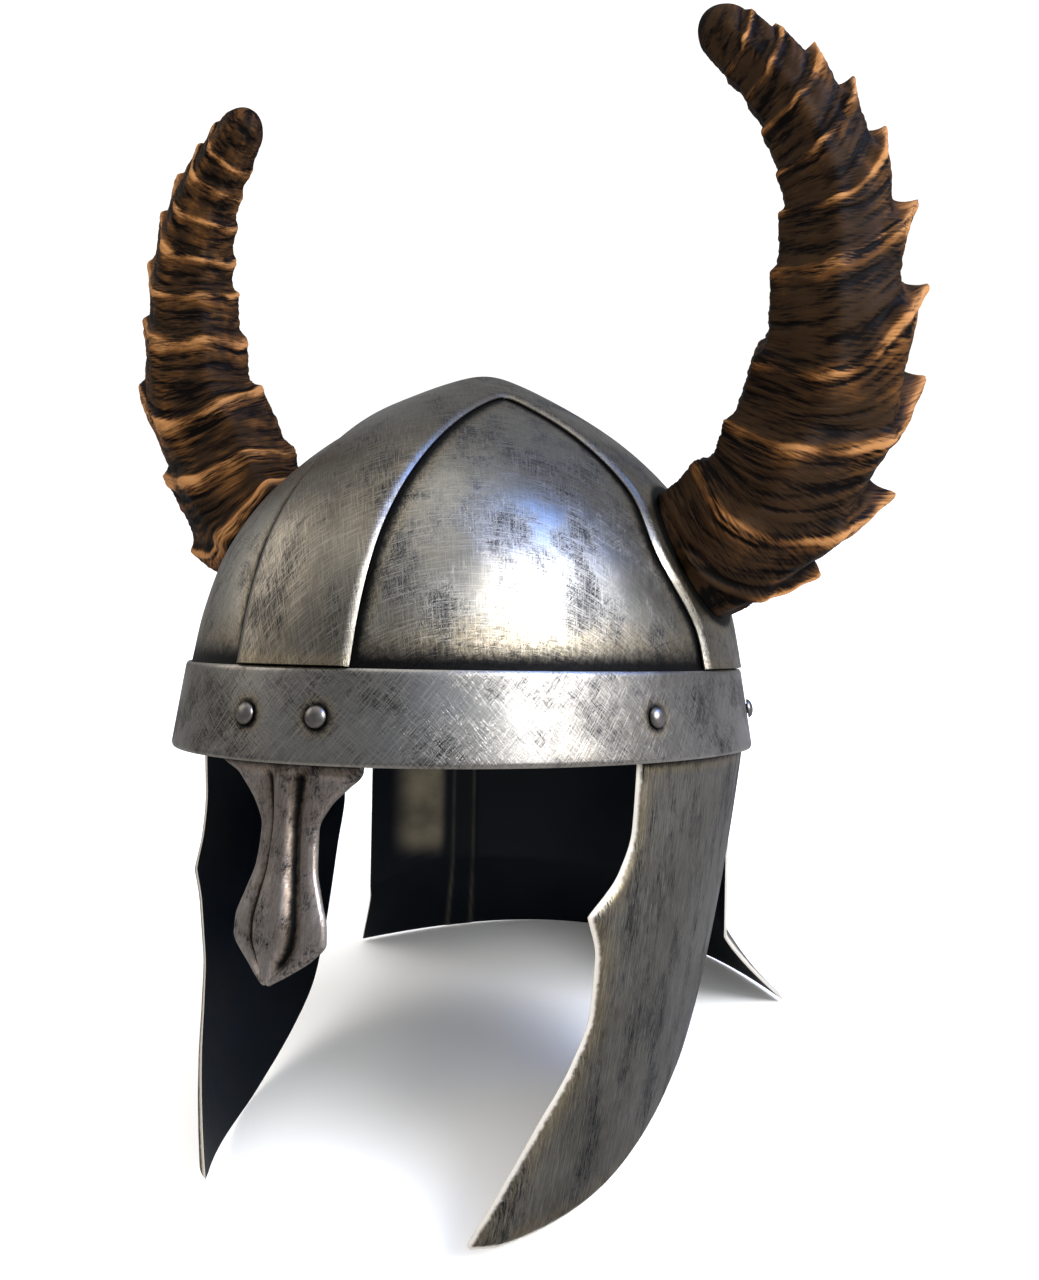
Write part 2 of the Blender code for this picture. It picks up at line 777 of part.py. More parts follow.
def resting_slope(points):
    """Slope of the table under the upright helmet: the lower edge of its side view, under the origin."""
    outline = sorted({(round(point.y, 7), round(point.z, 7)) for point in points})
    lower = []
    for place in outline:
        while len(lower) >= 2:
            (ay, az), (by, bz) = lower[-2], lower[-1]
            if (by - ay) * (place[1] - az) - (bz - az) * (place[0] - ay) > 0.0:
                break
            lower.pop()
        lower.append(place)
    for (ay, az), (by, bz) in zip(lower, lower[1:]):
        if ay <= 0.0 <= by:
            return (bz - az) / (by - ay)
    return 0.0


def set_down(stand):
    """Leans the helmet onto its resting plane and puts the middle of its underside at the origin."""
    bpy.context.view_layer.update()
    tilt = math.atan(resting_slope(helmet_points()))
    stand.rotation_euler = (-tilt, 0.0, 0.0)
    bpy.context.view_layer.update()
    points = helmet_points()
    lows = [min(point[axis] for point in points) for axis in range(3)]
    highs = [max(point[axis] for point in points) for axis in range(3)]
    stand.location = (-(lows[0] + highs[0]) / 2, -(lows[1] + highs[1]) / 2, -lows[2])
    bpy.context.view_layer.update()
    print("leans back", round(math.degrees(tilt), 3), "degrees, stands at",
          [round(value, 6) for value in stand.location])


def main():
    clear_scene()
    stand = bpy.data.objects.new("stand", None)
    bpy.context.collection.objects.link(stand)

    band_steel = material("brushed_band_steel", (0.42, 0.39, 0.37), 0.35, 1.0)
    panel_steel = material("brushed_panel_steel", (0.33, 0.32, 0.31), 0.32, 1.0)
    strap_steel = material("brushed_strap_steel", (0.27, 0.25, 0.23), 0.40, 1.0)
    guard_steel = material("brushed_guard_steel", (0.25, 0.24, 0.22), 0.42, 1.0)
    nasal_cast = material("cast_nasal_steel", (0.22, 0.20, 0.18), 0.45, 1.0)
    rivet_steel = material("rivet_steel", (0.24, 0.22, 0.21), 0.38, 1.0)
    horn_resin = material("painted_horn_resin", (0.09, 0.045, 0.02), 0.5, 0.0)

    guard_grip = GUARD_INSET
    rivets = []
    nasal_half = NASAL_RIVET_SPACING / 2
    for word, x in (("left", nasal_half), ("right", -nasal_half)):
        centre, normal = rivet_frame(x=x)
        rivets.append((f"rivet_nasal_{word}", centre, normal, guard_grip + NASAL_SHEET, "nasal"))
    for word, side in (("left", 1.0), ("right", -1.0)):
        for place, y in (("front", CHEEK_RIVET_FRONT), ("rear", CHEEK_RIVET_REAR)):
            centre, normal = rivet_frame(y=y)
            centre.x *= side
            normal.x *= side
            name = f"rivet_cheek_{place}_{word}"
            rivets.append((name, centre, normal, guard_grip + CHEEK_SHEET, f"cheek_{word}"))
    neck_reach = BAND_HALF_WIDTH - flare_at(RIVET_HEIGHT)
    for word, angle in (("left", NECK_RIVET_ANGLE), ("middle", 0.0), ("right", -NECK_RIVET_ANGLE)):
        centre, normal = rivet_frame(x=neck_reach * math.sin(angle), rear=True)
        rivets.append((f"rivet_neck_{word}", centre, normal, guard_grip + NECK_SHEET, "neck"))

    cutters = {}
    for name, centre, normal, grip, held in rivets:
        cutters[name] = (make_cutter(name.replace("rivet", "drill"), centre, normal, stand), centre, held)
        make_rivet(name, centre, normal, grip, rivet_steel, stand)

    band = make_band(band_steel, stand)
    drill(band, [cutter for cutter, _, _ in cutters.values()])
    for name, side, rear in (("panel_front_left", 1.0, False), ("panel_front_right", -1.0, False),
                             ("panel_rear_left", 1.0, True), ("panel_rear_right", -1.0, True)):
        panel = make_panel(name, side, rear, panel_steel, stand)
        near = [cutter for cutter, centre, _ in cutters.values()
                if centre.x * side > -RIVET_HEAD_RADIUS and (centre.y > 0.0) == rear]
        drill(panel, near)
    make_cross_frame(strap_steel, stand)
    for word, side in (("left", 1.0), ("right", -1.0)):
        guard = make_cheek_guard(f"cheek_guard_{word}", side, guard_steel, stand)
        drill(guard, [cutter for cutter, _, held in cutters.values() if held == f"cheek_{word}"])
        make_horn(f"horn_{word}", side, horn_resin, stand)
    neck = make_neck_guard(guard_steel, stand)
    drill(neck, [cutter for cutter, _, held in cutters.values() if held == "neck"])
    nasal = make_nasal_guard(nasal_cast, stand)
    drill(nasal, [cutter for cutter, _, held in cutters.values() if held == "nasal"])
    set_down(stand)


main()
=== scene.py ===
import functools
import json
import math

import bmesh
import bpy
from mathutils import Matrix, Vector, kdtree, noise


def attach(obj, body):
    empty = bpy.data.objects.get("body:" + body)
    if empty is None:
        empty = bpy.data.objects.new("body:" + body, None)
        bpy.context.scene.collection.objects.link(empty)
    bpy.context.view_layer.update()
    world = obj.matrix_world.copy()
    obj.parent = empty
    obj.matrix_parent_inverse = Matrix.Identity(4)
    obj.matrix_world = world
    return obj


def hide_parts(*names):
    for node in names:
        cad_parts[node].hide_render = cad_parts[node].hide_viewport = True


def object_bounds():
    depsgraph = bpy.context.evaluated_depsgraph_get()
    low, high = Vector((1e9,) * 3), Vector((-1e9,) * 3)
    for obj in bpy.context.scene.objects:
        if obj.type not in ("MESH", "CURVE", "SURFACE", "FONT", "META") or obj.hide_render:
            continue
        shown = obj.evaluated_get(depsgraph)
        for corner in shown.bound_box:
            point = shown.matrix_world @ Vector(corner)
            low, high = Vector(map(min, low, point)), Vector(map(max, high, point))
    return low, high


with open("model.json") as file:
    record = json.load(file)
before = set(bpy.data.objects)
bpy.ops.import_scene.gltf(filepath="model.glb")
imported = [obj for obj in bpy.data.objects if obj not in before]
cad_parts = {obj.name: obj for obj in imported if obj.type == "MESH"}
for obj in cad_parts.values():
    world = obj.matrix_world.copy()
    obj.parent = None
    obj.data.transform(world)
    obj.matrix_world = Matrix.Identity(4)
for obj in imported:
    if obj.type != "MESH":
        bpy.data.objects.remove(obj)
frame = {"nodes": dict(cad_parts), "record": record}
cadLow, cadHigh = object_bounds()
nodes = frame["nodes"]
mm = 0.001
tiny = 0.01 * mm
far = 99.0
bothSides = (("left", 1), ("right", -1))
print("frame loaded,", len(nodes), "pieces")

# The band's flat rim gives how far the helmet leans back on the table, and where it stands
rim = frame["record"]["mounts"][0]
lean = math.atan2(-rim["axis"][1], -rim["axis"][2])
toTable = Matrix.Translation((0, rim["pos_m"][1], rim["pos_m"][2])) @ Matrix.Rotation(-lean, 4, "X")
fromTable = toTable.inverted()


def uprightBox(node):
    corners = [fromTable @ vert.co for vert in nodes[node].data.vertices]
    low = [min(corner[axis] for corner in corners) / mm for axis in range(3)]
    high = [max(corner[axis] for corner in corners) / mm for axis in range(3)]
    return low, high


layers = {"band": 1.5, "panel": 1.5, "strap": 1.8, "gap": 0.3, "strapGap": 0.8}
bandLow, bandHigh = uprightBox("brow_band")
helmet = {
    "halfWidth": bandHigh[0],
    "front": -bandLow[1],
    "rear": bandHigh[1],
    "bandHeight": bandHigh[2],
    "flare": 4.8,
    "domeHeight": uprightBox("cross_frame")[1][2] - bandHigh[2] - layers["strap"] - layers["strapGap"],
    "panelInset": layers["band"] + layers["gap"],
    "guardInset": layers["band"] + layers["panel"] + 2 * layers["gap"],
}
domeProfile = (
    # share of the half-width, share of the height
    (0.000, 1.000), (0.060, 0.990), (0.150, 0.955), (0.271, 0.900), (0.536, 0.750),
    (0.763, 0.550), (0.899, 0.350), (0.969, 0.150), (1.000, 0.000),
)


def readTable(table, key, column):
    # a smooth curve through the rows of a table that doesn't overshoot them
    rows = len(table)
    key = min(max(key, table[0][0]), table[-1][0])
    row = 0
    while row < rows - 2 and key > table[row + 1][0]:
        row += 1

    def chord(index):
        return (table[index + 1][column] - table[index][column]) / (table[index + 1][0] - table[index][0])

    def slope(index):
        if index == 0 or index == rows - 1:
            return chord(min(index, rows - 2))
        before, after = chord(index - 1), chord(index)
        return 2 * before * after / (before + after) if before * after > 0 else 0.0

    span = table[row + 1][0] - table[row][0]
    t = (key - table[row][0]) / span
    return (table[row][column] * (1 + 2 * t) * (1 - t) ** 2 + table[row + 1][column] * t * t * (3 - 2 * t)
            + span * (slope(row) * t * (1 - t) ** 2 - slope(row + 1) * t * t * (1 - t)))


def mix(a, b, share):
    return a + (b - a) * share


def smooth(low, high, value):
    share = min(max((value - low) / (high - low), 0.0), 1.0)
    return share * share * (3 - 2 * share)


def flareAt(z):
    return helmet["flare"] * min(max(z, 0.0), helmet["bandHeight"]) / helmet["bandHeight"]


def ovalReach(y, inset):
    return (helmet["front"] if y < 0 else helmet["rear"]) - inset


def ovalRing(inset, z, share=1.0):
    # the band's oval, moved inwards: half-width, front reach, rear reach and height
    return [(helmet[reach] - inset) * share for reach in ("halfWidth", "front", "rear")] + [z]


def mirrored(spot, side):
    return Vector((spot.x * side, spot.y, spot.z))


# Modelling helpers

def makeActive(obj):
    bpy.ops.object.select_all(action="DESELECT")
    obj.select_set(True)
    bpy.context.view_layer.objects.active = obj


def addObject(name, data):
    obj = bpy.data.objects.new(name, data)
    bpy.context.scene.collection.objects.link(obj)
    return obj


def facingFrom(spot, direction):
    return Matrix.Translation(spot) @ direction.to_track_quat("Z", "Y").to_matrix().to_4x4()


def startEdit(kind="VERT"):
    bpy.ops.object.mode_set(mode="EDIT")
    bpy.ops.mesh.select_mode(type=kind)
    bpy.ops.mesh.select_all(action="SELECT")


def endEdit(outwards=False):
    if outwards:
        bpy.ops.mesh.select_all(action="SELECT")
        bpy.ops.mesh.normals_make_consistent(inside=False)
    bpy.ops.object.mode_set(mode="OBJECT")


def closeLoop():
    # a fan of faces from the selected open edge to its middle
    bpy.ops.mesh.extrude_region_move()
    bpy.ops.mesh.merge(type="CENTER")


def selectPoints(obj, wanted):
    bpy.ops.mesh.select_all(action="DESELECT")
    mesh = bmesh.from_edit_mesh(obj.data)
    for vert in mesh.verts:
        vert.select_set(wanted(vert.co))
    mesh.select_flush(True)
    bmesh.update_edit_mesh(obj.data)


def ovalWall(name, steps, rings):
    # a circle stretched to an oval, its rear half stretched again, then extruded ring by ring
    bpy.ops.object.select_all(action="DESELECT")
    bpy.ops.mesh.primitive_circle_add(vertices=steps, radius=mm)
    obj = bpy.context.active_object
    obj.name = name
    startEdit()
    old = (1.0, 1.0, 1.0, 0.0)
    for count, new in enumerate(rings):
        rise = (0, 0, (new[3] - old[3]) * mm)
        if count:
            bpy.ops.mesh.extrude_region_move(TRANSFORM_OT_translate={"value": rise})
        else:
            bpy.ops.transform.translate(value=rise)
        level = new[3] * mm
        centre = (0, 0, level)
        wider, longer = new[0] / old[0], new[1] / old[1]
        bpy.ops.transform.resize(value=(wider, longer, 1), center_override=centre)
        if longer != new[2] / old[2]:
            selectPoints(obj, lambda co: co.y > tiny / 10 and abs(co.z - level) < tiny)
            bpy.ops.transform.resize(value=(1, new[2] / old[2] / longer, 1), center_override=centre)
            selectPoints(obj, lambda co: abs(co.z - level) < tiny)
        old = new
    endEdit(outwards=True)
    return obj


def sheet(name, columns, rows, place, flip=False):
    # a flat grid bent to shape: place(u, v) gives where a point of it goes, both from 0 to 1
    bpy.ops.object.select_all(action="DESELECT")
    bpy.ops.mesh.primitive_grid_add(x_subdivisions=columns, y_subdivisions=rows, size=1)
    obj = bpy.context.active_object
    obj.name = name
    for vert in obj.data.vertices:
        vert.co = Vector(place(vert.co.x + 0.5, vert.co.y + 0.5)) * mm
    if flip:
        startEdit()
        bpy.ops.mesh.flip_normals()
        endEdit()
    return obj


def applyModifier(obj, kind, **settings):
    makeActive(obj)
    modifier = obj.modifiers.new(kind.lower(), kind)
    for key, value in settings.items():
        setattr(modifier, key, value)
    bpy.ops.object.modifier_apply(modifier=modifier.name)


def treeOf(spots):
    tree = kdtree.KDTree(len(spots))
    for index, spot in enumerate(spots):
        tree.insert(spot, index)
    tree.balance()
    return tree


def edgeTree(obj, edgeKind):
    # points every half millimetre along the edges that edgeKind() picks, to measure distances from
    spots = []
    mesh = bmesh.new()
    mesh.from_mesh(obj.data)
    for edge in mesh.edges:
        if edgeKind(edge):
            start, end = (vert.co.copy() for vert in edge.verts)
            count = max(1, round((end - start).length / (0.5 * mm)))
            spots.extend(start.lerp(end, step / count) for step in range(count + 1))
    mesh.free()
    return treeOf(spots)


def writeAttribute(obj, name, values):
    layer = obj.data.attributes.get(name) or obj.data.attributes.new(name, "FLOAT", "POINT")
    layer.data.foreach_set("value", values)


def distances(obj, tree):
    return [min(far, tree.find(vert.co)[2] / mm) for vert in obj.data.vertices]


def rolledWall(obj, thickness, rimWidth, rimDrop, outside, inside, curve=2.0, above=-999.0):
    # gives a sheet its thickness inwards and files its outer edge round, where it is above a height
    gaps = distances(obj, edgeTree(obj, lambda edge: len(edge.link_faces) == 1
                                   and max(vert.co.z for vert in edge.verts) > above * mm))
    normals = [vert.normal.copy() for vert in obj.data.vertices]
    obj.data.materials.append(outside)
    obj.data.materials.append(inside)
    applyModifier(obj, "SOLIDIFY", thickness=thickness * mm, offset=-1, use_even_offset=True,
                  material_offset=1)
    for vert, gap, normal in zip(obj.data.vertices, gaps, normals):
        vert.co -= normal * (rimDrop * mm * max(0.0, 1 - gap / rimWidth) ** curve)
    writeAttribute(obj, "rim", gaps + gaps)


def layMap(obj, where):
    # the piece's own map, in millimetres over its surface, which the scratches follow
    layer = obj.data.uv_layers.get("millimetres") or obj.data.uv_layers.new(name="millimetres")
    turn = 2 * math.pi * helmet["halfWidth"]
    for face in obj.data.polygons:
        first = where(face.center / mm)
        for loop in face.loop_indices:
            u, v = where(obj.data.vertices[obj.data.loops[loop].vertex_index].co / mm)
            if abs(u - first[0]) > turn / 2:
                u += math.copysign(turn, first[0] - u)
            layer.data[loop].uv = (u, v)


def roundMap(co):
    return math.atan2(co.x, -co.y) * helmet["halfWidth"], co.z


def crownMap(co):
    top = Vector((0, 0, helmet["bandHeight"] + helmet["domeHeight"]))
    turn = math.atan2(co.x, -co.y)
    return (co - top).length * math.sin(turn), -(co - top).length * math.cos(turn)


def finish(obj, nodeName, sharpest=40.0):
    # to its place on the table, with the object itself left at the origin
    makeActive(obj)
    bpy.ops.object.shade_smooth_by_angle(angle=math.radians(sharpest))
    obj.data.transform(toTable)
    obj.data.update()
    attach(obj, "root")
    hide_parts(nodeName)


# Finishes

def paint(code):
    # sRGB hex to Blender's linear colour
    parts = [int(code[place:place + 2], 16) / 255 for place in (1, 3, 5)]
    return (*[part / 12.92 if part <= 0.04045 else ((part + 0.055) / 1.055) ** 2.4 for part in parts], 1)


def setInput(node, key, value):
    # a value that is a node or a socket is linked
    if isinstance(value, bpy.types.Node):
        value = value.outputs[0]
    if isinstance(value, bpy.types.NodeSocket):
        node.id_data.links.new(value, node.inputs[key])
    else:
        node.inputs[key].default_value = value


def addNode(tree, kind, *inputs, **settings):
    # a node with its inputs, in their order or by name, and its settings. MapRange takes the value, the
    # range it comes from and the range it goes to; MixRGB takes the share and two colours
    node = tree.nodes.new("ShaderNode" + kind)
    for index, value in enumerate(inputs):
        setInput(node, index, value)
    for key, value in settings.items():
        if key.title() in node.inputs:
            setInput(node, key.title(), value)
        else:
            setattr(node, key, value)
    return node


def newMaterial(name):
    # the material, the way to add a node to it and its shader
    material = bpy.data.materials.new(name)
    material.use_nodes = True
    tree = material.node_tree
    return material, functools.partial(addNode, tree), tree.nodes["Principled BSDF"]


def antiquedSteel(name, look):
    # mild steel sheet, scratched crosswise with a coarse pad, blackened and rubbed back: grey metal with
    # fine dark scratches that gather in clouds, black left in the corners, and bright edges, partly rubbed
    # bare and partly a painted highlight
    material, add, shader = newMaterial(name)
    place = add("UVMap", uv_map="millimetres")
    marks = []
    for kind in ("scratches", "scuffs"):
        mark = None
        for turn, length, width, strength in look[kind]:
            along = add("Mapping", place, (turn, width, 0), (0, 0, math.radians(turn)),
                        (length, width, 1), vector_type="TEXTURE")
            streak = add("TexNoise", along, scale=1.0, detail=4.0, roughness=0.65, distortion=0.3)
            cut = add("MapRange", streak, look["sparse"], look["sparse"] + look["cutSoftness"], 0.0, strength)
            mark = add("Math", mark, cut, operation="MAXIMUM") if mark else cut
        marks.append(mark)
    scratches, scuffs = marks
    drawn = add("Mapping", place, vector_type="TEXTURE",
                scale=(look["cloudSize"], look["cloudSize"] * look["cloudStretch"], 1))
    clouds = add("TexNoise", drawn, scale=1.0, detail=5.0, roughness=0.65)
    cloud = add("MapRange", clouds, 0.40, 0.60, look["clearest"], 1.0)
    soot = add("MapRange", clouds, 0.50, 0.66, 0.0, look["soot"])
    # the distance to the black: patina in the corners, and on the nose and cheek guards a painted shadow
    # below the band
    corner = add("Attribute", attribute_name="seam").outputs["Fac"]
    gathered = add("MapRange", corner, 1.0, look["gather"], 0.95, 0.0)
    cloud = add("Math", cloud, gathered, operation="MAXIMUM")
    dirt = add("Math", scratches, cloud, soot, operation="MULTIPLY_ADD")
    dirt = add("Math", dirt, 1.0, operation="MINIMUM")
    broad = add("TexNoise", place, scale=1 / look["toneSize"], detail=2.0)
    tone = add("MapRange", broad, 0.35, 0.65)
    # how far the stains reach from a corner or an edge is ragged
    ragged = add("TexNoise", place, scale=1 / 2.5, detail=4.0, roughness=0.7)
    spread = add("MapRange", ragged, 0.3, 0.7, 0.75, 1.35)
    reach = add("Math", corner, spread, operation="MULTIPLY")
    edge = add("Attribute", attribute_name="rim").outputs["Fac"]
    wornAndGlint = add("Math", edge, spread, operation="MULTIPLY")
    browned = add("MapRange", wornAndGlint, look["edge"] * 1.5, look["edge"] * 5, look["rimStain"], 0.0)
    stain = add("MapRange", reach, look["seam"], look["seam"] * 2.2, look["stainDepth"], 0.0)
    stain = add("Math", stain, browned, operation="MAXIMUM")
    black = add("MapRange", reach, look["seam"] * 0.2, look["seam"] * 1.3, look["seamDepth"], 0.0,
                interpolation_type="SMOOTHSTEP")
    # the bright edge, partly steel rubbed bare and partly a painted highlight
    bareAndGlint = add("MapRange", wornAndGlint, look["edge"] * 0.35, look["edge"], look["edgeDepth"], 0.0,
               interpolation_type="SMOOTHSTEP")
    metal = paint(look["bright"])
    for share, colour in ((tone, "warm"), (stain, "stain"), (dirt, "dark"), (scuffs, "bareAndGlint"),
                          (black, "black"), (bareAndGlint, "bareAndGlint")):
        metal = add("MixRGB", share, metal, paint(look[colour]))
    setInput(shader, "Base Color", metal)
    rougher = add("MapRange", dirt, 0.0, 1.0, look["roughness"], look["roughness"] + look["dirtRoughness"])
    dulled = add("Math", black, 0.6, operation="MULTIPLY")
    setInput(shader, "Roughness", add("Math", rougher, dulled, operation="MAXIMUM"))
    relief = add("Math", broad, look["waves"], dirt, operation="MULTIPLY_ADD")
    bump = add("Bump", strength=0.35, distance=0.12 * mm, height=relief, invert=True)
    setInput(shader, "Normal", bump)
    setInput(shader, "Metallic", 1.0)
    if look["edgeMatte"]:
        # the bright edges lose some of their mirror: steel scuffed to fine burrs scatters light, and the pale
        # edge shows as a painted highlight from every side
        metallic = add("Math", bareAndGlint, -look["edgeMatte"], 1.0, operation="MULTIPLY_ADD")
        setInput(shader, "Metallic", metallic)
    return material


def bluedInside():
    # the same steel's inner face, dipped in blue-black lacquer: near black, satin, softly clouded, and
    # rubbed down to brown where the neck guard is worn, with pale lines painted as highlights along its
    # pressed joint
    material, add, shader = newMaterial("blue_black_lacquered_steel")
    place = add("TexCoord").outputs["Object"]
    clouds = add("TexNoise", place, scale=1 / (18 * mm), detail=4.0)
    wornAndGlint = add("Attribute", attribute_name="wornAndGlint").outputs["Fac"]
    patchy = add("MapRange", clouds, 0.3, 0.6, 0.5)
    paler = add("Math", wornAndGlint, patchy, operation="MULTIPLY")
    colour = add("MixRGB", clouds, paint("#01040a"), paint("#0a131e"))
    setInput(shader, "Base Color", add("MixRGB", paler, colour, paint("#8a7f68")))
    setInput(shader, "Roughness", add("MapRange", clouds, 0.3, 0.7, 0.34, 0.48))
    setInput(shader, "Specular IOR Level", 0.25)
    return material


def castRivet():
    # small steel heads, tumbled: softly pitted and darker than the sheet
    material, add, shader = newMaterial("tumbled_rivet_steel")
    place = add("TexCoord").outputs["Object"]
    pits = add("TexNoise", place, scale=1 / (1.6 * mm), detail=3.0)
    setInput(shader, "Base Color", add("MixRGB", pits, paint("#8f8a84"), paint("#5e5a57")))
    setInput(shader, "Normal", add("Bump", strength=0.3, distance=0.1 * mm, height=pits))
    setInput(shader, "Metallic", 1.0)
    setInput(shader, "Roughness", 0.36)
    return material


def paintedHorn():
    # cast resin in black-brown with tan paint dragged over it dry, which only the ridges caught
    material, add, shader = newMaterial("dry_brushed_resin")
    place = add("UVMap", uv_map="millimetres")
    crest = add("Attribute", attribute_name="crest").outputs["Fac"]
    grain = add("Attribute", attribute_name="grain").outputs["Fac"]
    drag = add("Mapping", place, scale=(8.0, 0.8, 1.0), vector_type="TEXTURE")
    bristles = add("TexNoise", drag, scale=1.0, detail=4.0, roughness=0.65)
    blotches = add("TexNoise", place, scale=1 / 14, detail=3.0)
    streaks = add("Math", bristles, 1.3, grain, operation="MULTIPLY_ADD")
    lines = add("MapRange", streaks, 0.93, 1.22)
    olive = add("MixRGB", blotches, paint("#1a1008"), paint("#302010"))
    ground = add("MixRGB", lines, paint("#070403"), olive)
    caught = add("Math", streaks, 0.55, crest, operation="MULTIPLY_ADD")
    patchy = add("Math", blotches, 0.9, caught, operation="MULTIPLY_ADD")
    brown = add("MapRange", patchy, 1.1, 1.62, interpolation_type="SMOOTHSTEP")
    brown = add("Math", brown, lines, operation="MULTIPLY")
    tan = add("MapRange", patchy, 1.42, 1.92, interpolation_type="SMOOTHSTEP")
    tan = add("Math", tan, add("MapRange", lines, 0.0, 1.0, 0.35), operation="MULTIPLY")
    colour = add("MixRGB", brown, ground, paint("#503216"))
    setInput(shader, "Base Color", add("MixRGB", tan, colour, paint("#90643b")))
    setInput(shader, "Normal", add("Bump", strength=0.5, distance=0.3 * mm, height=streaks))
    setInput(shader, "Roughness", 0.55)
    setInput(shader, "Specular IOR Level", 0.04)
    return material


sheetLook = {
    # scratches and scuffs are direction in degrees, length, width, strength; the black of a corner reaches
    # "seam" from it and a bright edge, partly rubbed bare and partly a painted highlight, is "edge" wide, in
    # millimetres as all sizes here
    "scratches": ((46, 5.0, 0.42, 1.0), (-33, 4.0, 0.45, 0.9), (82, 6.5, 0.5, 0.9), (15, 3.0, 0.5, 0.6)),
    "scuffs": ((35, 12.0, 0.4, 0.35), (-58, 9.0, 0.45, 0.3)), "sparse": 0.485, "cutSoftness": 0.14,
    "cloudSize": 26.0, "cloudStretch": 1.0, "clearest": 0.2, "soot": 0.5, "gather": 10.0,
    "toneSize": 55.0, "waves": 1.5, "roughness": 0.29, "dirtRoughness": 0.22,
    "bright": "#9b998f", "warm": "#7c766a", "dark": "#1d1f23", "bareAndGlint": "#cdc5b7", "black": "#0b0c0e",
    "seam": 2.6, "seamDepth": 0.98, "stain": "#9c875e", "stainDepth": 0.5, "rimStain": 0.0,
    "edge": 1.1, "edgeDepth": 0.25, "edgeMatte": 0.0,
}
bandLook = {
    **sheetLook, "bright": "#92908c", "warm": "#746e67", "gather": 14.0, "soot": 0.7, "roughness": 0.28,
    "scratches": ((50, 6.0, 0.42, 1.0), (-54, 6.0, 0.45, 1.0), (18, 5.0, 0.5, 0.7)),
    "scuffs": ((58, 12.0, 0.35, 0.38), (-40, 9.0, 0.35, 0.3)),
}
strapLook = {
    **sheetLook, "bright": "#7f796d", "warm": "#696051", "clearest": 0.05, "edge": 1.8, "edgeDepth": 0.22,
    "scratches": ((70, 6.0, 0.5, 0.8), (-60, 7.0, 0.6, 0.7)),
}
guardLook = {
    **sheetLook, "bright": "#7b776d", "warm": "#635f55", "clearest": 0.3, "soot": 0.45, "roughness": 0.36,
    "scratches": ((91, 7.0, 0.55, 0.8), (86, 4.5, 0.5, 0.8), (94, 2.0, 0.7, 0.6)),
    "scuffs": ((88, 10.0, 0.5, 0.2),), "cloudSize": 12.0, "cloudStretch": 3.0,
    # the guards' wide pale edges are matte, so they show from every side, and are partly a painted highlight
    "rimStain": 0.35, "edge": 2.0, "edgeDepth": 0.8, "edgeMatte": 0.75,
}
noseLook = {
    **sheetLook, "bright": "#b0a7a2", "warm": "#93877f", "stain": "#8a6f52", "roughness": 0.38,
    "scratches": ((88, 2.0, 0.8, 0.7), (50, 1.4, 0.7, 0.6)),
    "scuffs": ((86, 5.0, 0.6, 0.3),), "cloudSize": 8.0, "seam": 2.0, "gather": 3.0,
}
bandSteel = antiquedSteel("brushed_band_steel", bandLook)
panelSteel = antiquedSteel("brushed_panel_steel", sheetLook)
strapSteel = antiquedSteel("brushed_strap_steel", strapLook)
guardSteel = antiquedSteel("drawn_guard_steel", guardLook)
noseSteel = antiquedSteel("cast_nose_steel", noseLook)
insideBlack = bluedInside()
rivetSteel = castRivet()
hornResin = paintedHorn()
print("finishes mixed")


# Rivets, which the band's shading needs to know of

rivet = {"head": 3.5, "headHeight": 2.1, "shank": 1.8, "tail": 2.9, "tailHeight": 1.1, "level": 14.2,
         "noseSpacing": 26.2, "cheekFront": -54.0, "cheekRear": 28.0, "neckAngle": 50.0, "sides": 40,
         "noseWall": 2.5, "cheekWall": 2.0, "neckWall": 1.5, "lip": 0.15, "rounding": 0.05}


def rivetSpot(x=None, y=None, rear=False):
    # a point of the band's face at the rivets' level, with the direction the face looks
    inset = flareAt(rivet["level"])
    wide = helmet["halfWidth"] - inset
    reach = ovalReach(1 if rear else (-1 if y is None else y), inset)
    if y is None:
        y = math.copysign(reach * math.sqrt(1 - (x / wide) ** 2), reach if rear else -reach)
    else:
        x = wide * math.sqrt(1 - (y / reach) ** 2)
    flat = Vector((x / wide ** 2, y / reach ** 2, 0)).normalized()
    facing = (flat * helmet["bandHeight"] + Vector((0, 0, helmet["flare"]))).normalized()
    return Vector((x, y, rivet["level"])), facing


# name, spot and facing, side, wall of the guard it holds
rivetPlan = []
neckSide = (helmet["halfWidth"] - flareAt(rivet["level"])) * math.sin(math.radians(rivet["neckAngle"]))
for word, side in bothSides:
    rivetPlan += [
        (f"rivet_nasal_{word}", rivetSpot(x=side * rivet["noseSpacing"] / 2), 1, rivet["noseWall"]),
        (f"rivet_cheek_front_{word}", rivetSpot(y=rivet["cheekFront"]), side, rivet["cheekWall"]),
        (f"rivet_cheek_rear_{word}", rivetSpot(y=rivet["cheekRear"]), side, rivet["cheekWall"]),
        (f"rivet_neck_{word}", rivetSpot(x=side * neckSide, rear=True), 1, rivet["neckWall"]),
    ]
rivetPlan.append(("rivet_neck_middle", rivetSpot(x=0, rear=True), 1, rivet["neckWall"]))


